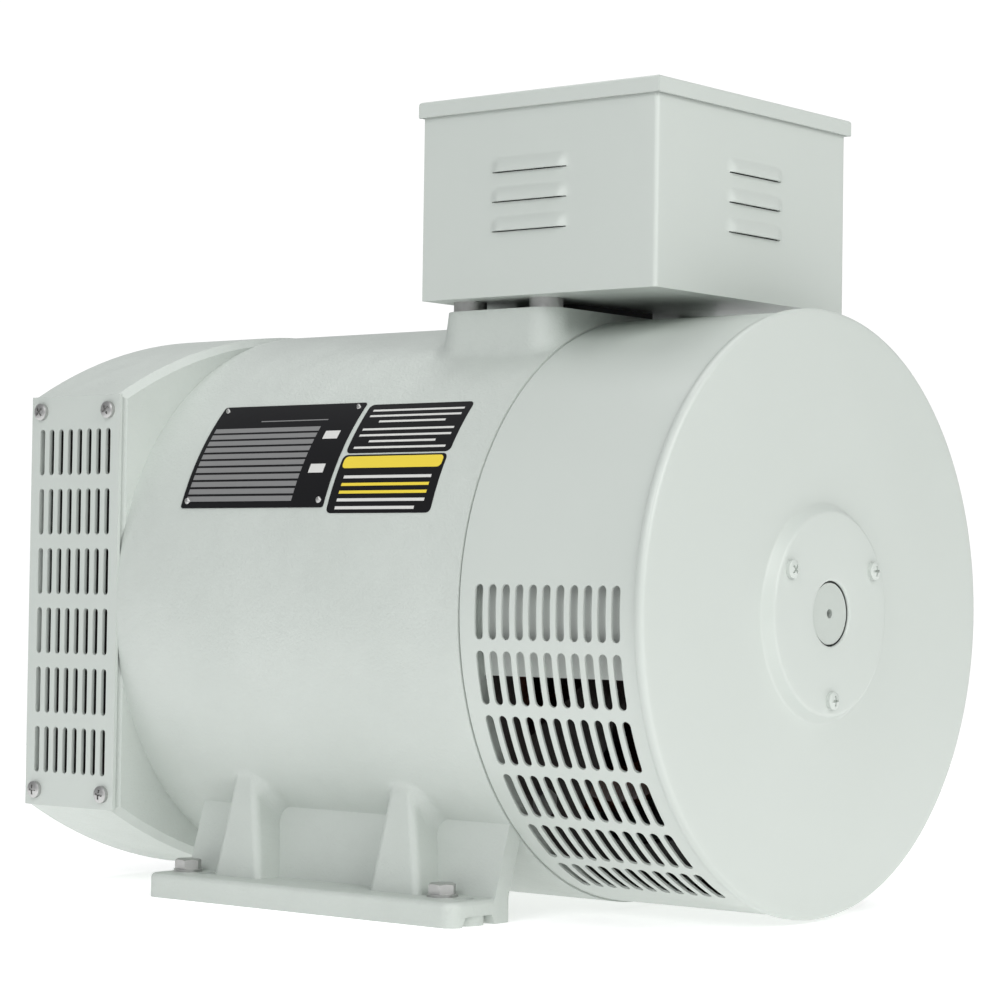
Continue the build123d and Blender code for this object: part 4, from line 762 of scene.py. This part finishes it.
# The M8 hexagon bolts have chamfered heads: four stand beside the fixing holes on plain washers,
# and four hold the drive-end bracket. The box stands on four turned spacers.
HEX_M8 = (13.0, 5.3)
HEX_TOP = 0.93
HEX_CRISP = 20.0
WASHER = (8.0, 1.6)
FOOT_TOP = 13.0
FOOT_BOLT_X = (-105.0, 77.0)
FOOT_BOLT_Y = 136.0
BRACKET_BOLT_CIRCLE = (139.75, 45.0, 4)


def hex_head(flats, height, base):
    """Rings of a chamfered hexagon head that stands on a seat at a height."""
    angles = [math.radians(15.0 * step) for step in range(24)]
    top = flats / 2 * HEX_TOP

    def reach(angle):
        return flats / 2 / math.cos((angle % math.radians(60)) - math.radians(30))

    rings = [[(a, top * 0.5, base + height) for a in angles], [(a, top, base + height) for a in angles]]
    rings.append([(a, reach(a), base + height - (reach(a) - top) * 0.577) for a in angles])
    rings.append([(a, reach(a), base) for a in angles])
    return rings


def washer_rings(radius, thickness):
    angles = [math.radians(10.0 * step) for step in range(36)]
    sizes = ((0.5, thickness), (radius - 0.4, thickness), (radius, thickness - 0.4), (radius, 0.0))
    return [[(a, size, height) for a in angles] for size, height in sizes]


foot_bolts, foot_washers, bracket_bolts = Cluster(), Cluster(), Cluster()
for x in FOOT_BOLT_X:
    for y in (-FOOT_BOLT_Y, FOOT_BOLT_Y):
        foot_washers.add(washer_rings(*WASHER), (x, y, FOOT_TOP), (0, 0, 1))
        foot_bolts.add(hex_head(*HEX_M8, WASHER[1]), (x, y, FOOT_TOP), (0, 0, 1))
for y, z in round_about(*BRACKET_BOLT_CIRCLE):
    bracket_bolts.add(hex_head(*HEX_M8, 0.0), (HOOD_FRONT_X, y, z), (-1, 0, 0))
foot_bolts.piece("foot_hex_bolts", zinc, "zinc_steel", "foot_bolts", crisp=HEX_CRISP)
foot_washers.piece("foot_plain_washers", zinc, "zinc_steel", "foot_washers")
bracket_bolts.piece("drive_bracket_hex_bolts", zinc, "zinc_steel", "drive_bracket_bolts", crisp=HEX_CRISP)
zinc.dress(nodes["rear_bracket_bolts"], nodes["brush_holder_screws"])
zinc.dress(nodes["box_bolts"], nodes["box_spacers"])

# The rating plate is thin black-printed aluminium riveted to the barrel, and below the terminal box
# are two black film labels. All three carry plain rules and panels only, with no wording.
PLATE_BLACK = (0.006, 0.006, 0.007)
PLATE_SILVER = (0.36, 0.36, 0.36)
PLATE_WHITE = (0.66, 0.66, 0.64)
LABEL_YELLOW = (0.80, 0.62, 0.05)
PLATE_AREA = (-102.7, 2.0, 19.2, 43.6)
UPPER_LABEL = (5.5, 77.0, 30.8, 43.0)
LOWER_LABEL = (5.0, 76.5, 18.0, 30.4)
CELL = 2.5
CORNER_SHARES = (0.0, 0.04, 0.15, 0.35, 0.62)


def plain_finish(name, colour, roughness, **constants):
    finish = Finish(name, **constants)
    finish.colour(colour)
    finish.rough(roughness - 0.04 + finish.noise(0.008) * 0.08)
    return finish


class CurvedLabel:
    """Thin patches wrapped on the barrel, each closed down to the one below."""

    def __init__(self):
        self.points, self.faces, self.kinds = [], [], []

    def patch(self, area, lift, kind, corner=0.0):
        x0, x1, low, high = area
        steps = max(1, round((x1 - x0 - 2 * corner) / CELL))
        ends = [corner * share for share in CORNER_SHARES] if corner else []
        xs = [x0 + end for end in ends]
        xs += [x0 + corner + (x1 - x0 - 2 * corner) * i / steps for i in range(steps + 1)]
        xs += [x1 - end for end in reversed(ends)]
        across = len(xs) - 1
        around = max(1, round(math.radians(high - low) * BARREL_RADIUS / CELL))
        index = {}
        for i in range(-1, across + 2):
            x = xs[min(max(i, 0), across)]
            short = corner - min(x - x0, x1 - x)
            cut = corner - math.sqrt(max(corner ** 2 - max(short, 0.0) ** 2, 0.0))
            cut = math.degrees(cut / BARREL_RADIUS)
            for j in range(-1, around + 2):
                angle = math.radians(low + cut + (high - low - 2 * cut) * min(max(j / around, 0), 1))
                sunk = i in (-1, across + 1) or j in (-1, around + 1)
                radius = BARREL_RADIUS + (-0.05 if sunk else lift)
                index[i, j] = len(self.points)
                self.points.append((x, -radius * math.cos(angle), SHAFT_Z + radius * math.sin(angle)))
        for i in range(-1, across + 1):
            for j in range(-1, around + 1):
                self.faces.append([index[i, j], index[i + 1, j], index[i + 1, j + 1], index[i, j + 1]])
                self.kinds.append(kind)

    def piece(self, name, finishes, slot):
        made = piece_from(name, self.points, self.faces, "housing", finishes[0], smooth=True)
        for finish in finishes[1:]:
            made.data.materials.append(finish.material)
        made.data.polygons.foreach_set("material_index", self.kinds)
        split = made.modifiers.new("crisp_edges", "EDGE_SPLIT")
        split.split_angle = math.radians(CRISP_ANGLE)
        return made


def inset(area, left, right, low, high):
    """A part of an area, by shares of its width and height."""
    width, height = area[1] - area[0], area[3] - area[2]
    return (area[0] + width * left, area[0] + width * right, area[2] + height * low, area[2] + height * high)


plate_black = plain_finish("plate_black", PLATE_BLACK, 0.34, Specular_IOR_Level=0.2)
plate_silver = plain_finish("plate_silver", PLATE_SILVER, 0.30, Metallic=0.6)
plate_white = plain_finish("plate_white", PLATE_WHITE, 0.40)
film_black = plain_finish("film_black", PLATE_BLACK, 0.42, Specular_IOR_Level=0.2)
film_yellow = plain_finish("film_yellow", LABEL_YELLOW, 0.42)

PLATE_ROWS = 11
plate = CurvedLabel()
plate.patch(PLATE_AREA, 0.5, 0, corner=1.5)
for row in range(PLATE_ROWS):
    low = 0.055 + row * 0.065
    plate.patch(inset(PLATE_AREA, 0.03, 0.775, low, low + 0.045), 0.56, 1)
plate.patch(inset(PLATE_AREA, 0.33, 0.80, 0.815, 0.825), 0.56, 1)
for low, high in ((0.30, 0.38), (0.62, 0.70)):
    plate.patch(inset(PLATE_AREA, 0.83, 0.93, low, high), 0.56, 2)
plate.piece("rating_plate_bare", [plate_black, plate_silver, plate_white], "painted_sheet")

UPPER_RULES = ((0.06, 0.86, 0.94), (0.06, 0.74, 0.94), (0.18, 0.62, 0.82), (0.06, 0.46, 0.94),
               (0.06, 0.34, 0.94), (0.18, 0.22, 0.82), (0.06, 0.10, 0.94))
LOWER_RULES = ((0.08, 0.60, 0.92, 2), (0.08, 0.47, 0.92, 1), (0.08, 0.34, 0.92, 1), (0.08, 0.21, 0.92, 2),
               (0.08, 0.08, 0.84, 2))
labels = CurvedLabel()
labels.patch(UPPER_LABEL, 0.2, 0, corner=3.0)
labels.patch(LOWER_LABEL, 0.2, 0, corner=3.0)
labels.patch(inset(LOWER_LABEL, 0.025, 0.975, 0.76, 0.97), 0.25, 1, corner=2.5)
for left, low, right in UPPER_RULES:
    labels.patch(inset(UPPER_LABEL, left, right, low - 0.02, low + 0.02), 0.25, 2)
for left, low, right, kind in LOWER_RULES:
    labels.patch(inset(LOWER_LABEL, left, right, low - 0.02, low + 0.03), 0.25, kind)
labels.piece("barrel_labels_bare", [film_black, film_yellow, plate_white], "black_moulding")

RIVET_RADIUS = 2.0
rivets = Cluster()
for x in (PLATE_AREA[0] + 4.0, PLATE_AREA[1] - 4.0):
    for angle in (PLATE_AREA[2] + 1.4, PLATE_AREA[3] - 1.4):
        way = (0.0, -math.cos(math.radians(angle)), math.sin(math.radians(angle)))
        seat = [BARREL_RADIUS * value for value in way]
        turns = [math.radians(20.0 * step) for step in range(18)]
        profile = ((0.9, 1.5), (1.5, 1.25), (RIVET_RADIUS, 0.55), (RIVET_RADIUS, 0.0))
        rivets.add([[(a, r, h) for a in turns] for r, h in profile], (x, seat[1], SHAFT_Z + seat[2]), way)
piece_from("plate_rivets", rivets.points, rivets.faces, "housing", zinc, smooth=True)

# The shaft, bearing races and springs are ground or drawn steel. The shaft's tail was enamelled
# together with the end cap round it.
TAIL_PAINT_X = 218.0
TURNING = 0.0012
STEEL_LIGHT = (0.52, 0.52, 0.53)
STEEL_DARK = (0.38, 0.38, 0.39)


def bright_steel(name, painted_from=None):
    """Turned steel with fine marks that run round the shaft axis, enamelled beyond a place along it."""
    finish = Finish(name, Metallic=1.0)
    marks = finish.noise(TURNING, detail=2.0, place=finish.stretched((1.0, 0.06, 0.06)))
    colour = finish.mix(marks, STEEL_LIGHT, STEEL_DARK)
    if painted_from is not None:
        painted = finish.axis(0) > painted_from * MM
        colour = finish.mix(painted, colour, ENAMEL_THIN)
        finish.tree.links.new((1.0 - painted).socket, finish.surface.inputs["Metallic"])
    finish.colour(colour)
    finish.rough(0.22 + marks * 0.16)
    return finish


steel = bright_steel("ground_steel")
bright_steel("shaft_steel", painted_from=TAIL_PAINT_X).dress(nodes["shaft"])
steel.dress(*(nodes[name] for name in (
    "drive_bearing_outer_race", "drive_bearing_inner_race", "rear_bearing_outer_race",
    "rear_bearing_inner_race", "brush_spring_inner", "brush_spring_outer")))

# Stator and rotor cores are stacks of 0.5 mm laminations under clear varnish. The coils between and
# round them are enamelled copper, dipped in red-brown varnish, with the turns showing as fine ridges.
LAMINATION = 0.0011
STRAND = 0.0022


def laminations(name):
    finish = Finish(name, Metallic=0.55)
    stack = finish.noise(LAMINATION, detail=1.0, place=finish.stretched((1.0, 0.02, 0.02)))
    finish.colour(finish.mix(stack, (0.16, 0.15, 0.15), (0.27, 0.25, 0.24)))
    finish.rough(0.38 + stack * 0.18)
    finish.bump(stack, 0.0002)
    return finish


def varnished_copper(name):
    finish = Finish(name, Coat_Weight=0.6, Coat_Roughness=0.18)
    turns = finish.noise(STRAND, detail=1.0, place=finish.stretched((0.15, 1.0, 1.0)))
    finish.colour(finish.mix(turns, (0.17, 0.050, 0.022), (0.085, 0.024, 0.012)))
    finish.rough(0.34 + turns * 0.2)
    finish.bump(turns, 0.0008)
    return finish


laminations("varnished_laminations").dress(nodes["stator_core"], nodes["rotor_core"])
varnished_copper("varnished_copper").dress(nodes["stator_windings"], nodes["field_coils"])

# The fan is a sand-cast aluminium wheel, left as cast.
fan_cast = Finish("cast_aluminium", Metallic=0.85)
fan_sand = fan_cast.noise(0.0018, detail=3.0)
fan_cast.colour(fan_cast.mix(fan_sand, (0.55, 0.56, 0.57), (0.42, 0.43, 0.44)))
fan_cast.rough(0.42 + fan_sand * 0.2)
fan_cast.bump(fan_sand, 0.0004)
fan_cast.dress(nodes["cooling_fan"])

# The brush gear and terminal board are electrical mouldings: black phenolic for the sleeve, holder
# and regulator, red-brown phenolic for the board, with brass rings, studs and nuts.
moulding = plain_finish("black_phenolic", (0.020, 0.020, 0.021), 0.42)
moulding.bump(moulding.noise(0.0015), 0.0001)
moulding.dress(nodes["slip_ring_sleeve"], nodes["brush_holder"], nodes["voltage_regulator"])
board = plain_finish("board_phenolic", (0.20, 0.075, 0.040), 0.45)
board.bump(board.noise(0.0015), 0.0001)
board.dress(nodes["terminal_board"])
brass = Finish("turned_brass", Metallic=1.0)
tarnish = brass.noise(0.010, detail=3.0)
brass.colour(brass.mix(tarnish, (0.74, 0.52, 0.22), (0.50, 0.33, 0.13)))
brass.rough(0.24 + tarnish * 0.2)
brass.dress(nodes["slip_rings"], nodes["terminal_studs"], nodes["terminal_nuts"])
carbon = plain_finish("brush_carbon", (0.030, 0.030, 0.033), 0.50, Metallic=0.3)
carbon.dress(nodes["brush_inner"], nodes["brush_outer"])
rubber = plain_finish("black_rubber", (0.018, 0.018, 0.018), 0.60)
rubber.dress(nodes["lead_gasket"], nodes["cable_bush"])
sheet_paint.dress(nodes["box_panel_drive"])

# The studio: a white sweep under soft lamps, the main one on the round end's side, with the camera
# level with the shaft behind a long lens.
CAMERA_PLACE = (1.0487, -1.2998, 0.1712)
CAMERA_TURN = (91.69, -0.83, 38.83)
CAMERA_LENS = 106.5
FLOOR_RADIUS = 1.5


def studio_camera():
    data = bpy.data.cameras.new("studio_camera")
    data.lens = CAMERA_LENS
    data.sensor_width = 36.0
    data.clip_end = 30.0
    camera = bpy.data.objects.new("studio_camera", data)
    camera.location = CAMERA_PLACE
    camera.rotation_euler = [math.radians(angle) for angle in CAMERA_TURN]
    bpy.context.scene.collection.objects.link(camera)
    bpy.context.scene.camera = camera


def soft_lamp(name, place, target, size, power, tint):
    data = bpy.data.lights.new(name, "AREA")
    data.shape = "DISK"
    data.size = size
    data.energy = power
    data.color = tint
    lamp = bpy.data.objects.new(name, data)
    lamp.location = place
    lamp.rotation_euler = (Vector(target) - Vector(place)).to_track_quat("-Z", "Y").to_euler()
    bpy.context.scene.collection.objects.link(lamp)


def pale_floor():
    mesh = bpy.data.meshes.new("floor")
    turns = [math.radians(7.5 * step) for step in range(48)]
    rim = [(FLOOR_RADIUS * math.cos(turn), FLOOR_RADIUS * math.sin(turn), 0) for turn in turns]
    mesh.from_pydata(rim, [], [tuple(range(len(rim)))])
    floor = bpy.data.objects.new("floor", mesh)
    bpy.context.scene.collection.objects.link(floor)
    finish = Finish("floor_sweep", Roughness=0.9, Emission_Strength=0.50)
    finish.surface.inputs["Specular IOR Level"].default_value = 0.0
    finish.surface.inputs["Emission Color"].default_value = (1.0, 1.0, 1.0, 1.0)
    finish.colour((0.86, 0.86, 0.86))
    finish.dress(floor)


def white_world():
    world = bpy.data.worlds.new("studio")
    bpy.context.scene.world = world
    world.use_nodes = True
    tree = world.node_tree
    tree.nodes.clear()
    rays = tree.nodes.new("ShaderNodeLightPath")
    soft, white = tree.nodes.new("ShaderNodeBackground"), tree.nodes.new("ShaderNodeBackground")
    soft.inputs["Color"].default_value = (0.97, 0.98, 1.0, 1.0)
    soft.inputs["Strength"].default_value = 0.36
    white.inputs["Color"].default_value = (1.0, 1.0, 1.0, 1.0)
    white.inputs["Strength"].default_value = 1.05
    either = tree.nodes.new("ShaderNodeMath")
    either.operation = "MAXIMUM"
    tree.links.new(rays.outputs["Is Camera Ray"], either.inputs[0])
    tree.links.new(rays.outputs["Is Transmission Ray"], either.inputs[1])
    mix = tree.nodes.new("ShaderNodeMixShader")
    output = tree.nodes.new("ShaderNodeOutputWorld")
    tree.links.new(either.outputs[0], mix.inputs[0])
    tree.links.new(soft.outputs[0], mix.inputs[1])
    tree.links.new(white.outputs[0], mix.inputs[2])
    tree.links.new(mix.outputs[0], output.inputs["Surface"])


studio_camera()
pale_floor()
white_world()
soft_lamp("key", (2.3, -0.5, 1.5), (0.1, 0.0, 0.2), 1.7, 33.0, (1.0, 1.0, 0.985))
soft_lamp("side", (0.5, -1.9, 1.4), (0.0, 0.0, 0.25), 1.3, 15.0, (0.985, 0.99, 1.0))
soft_lamp("top", (-0.5, 0.4, 2.4), (0.0, 0.0, 0.2), 1.6, 20.0, (1.0, 1.0, 1.0))
bpy.context.scene.view_settings.view_transform = "Standard"
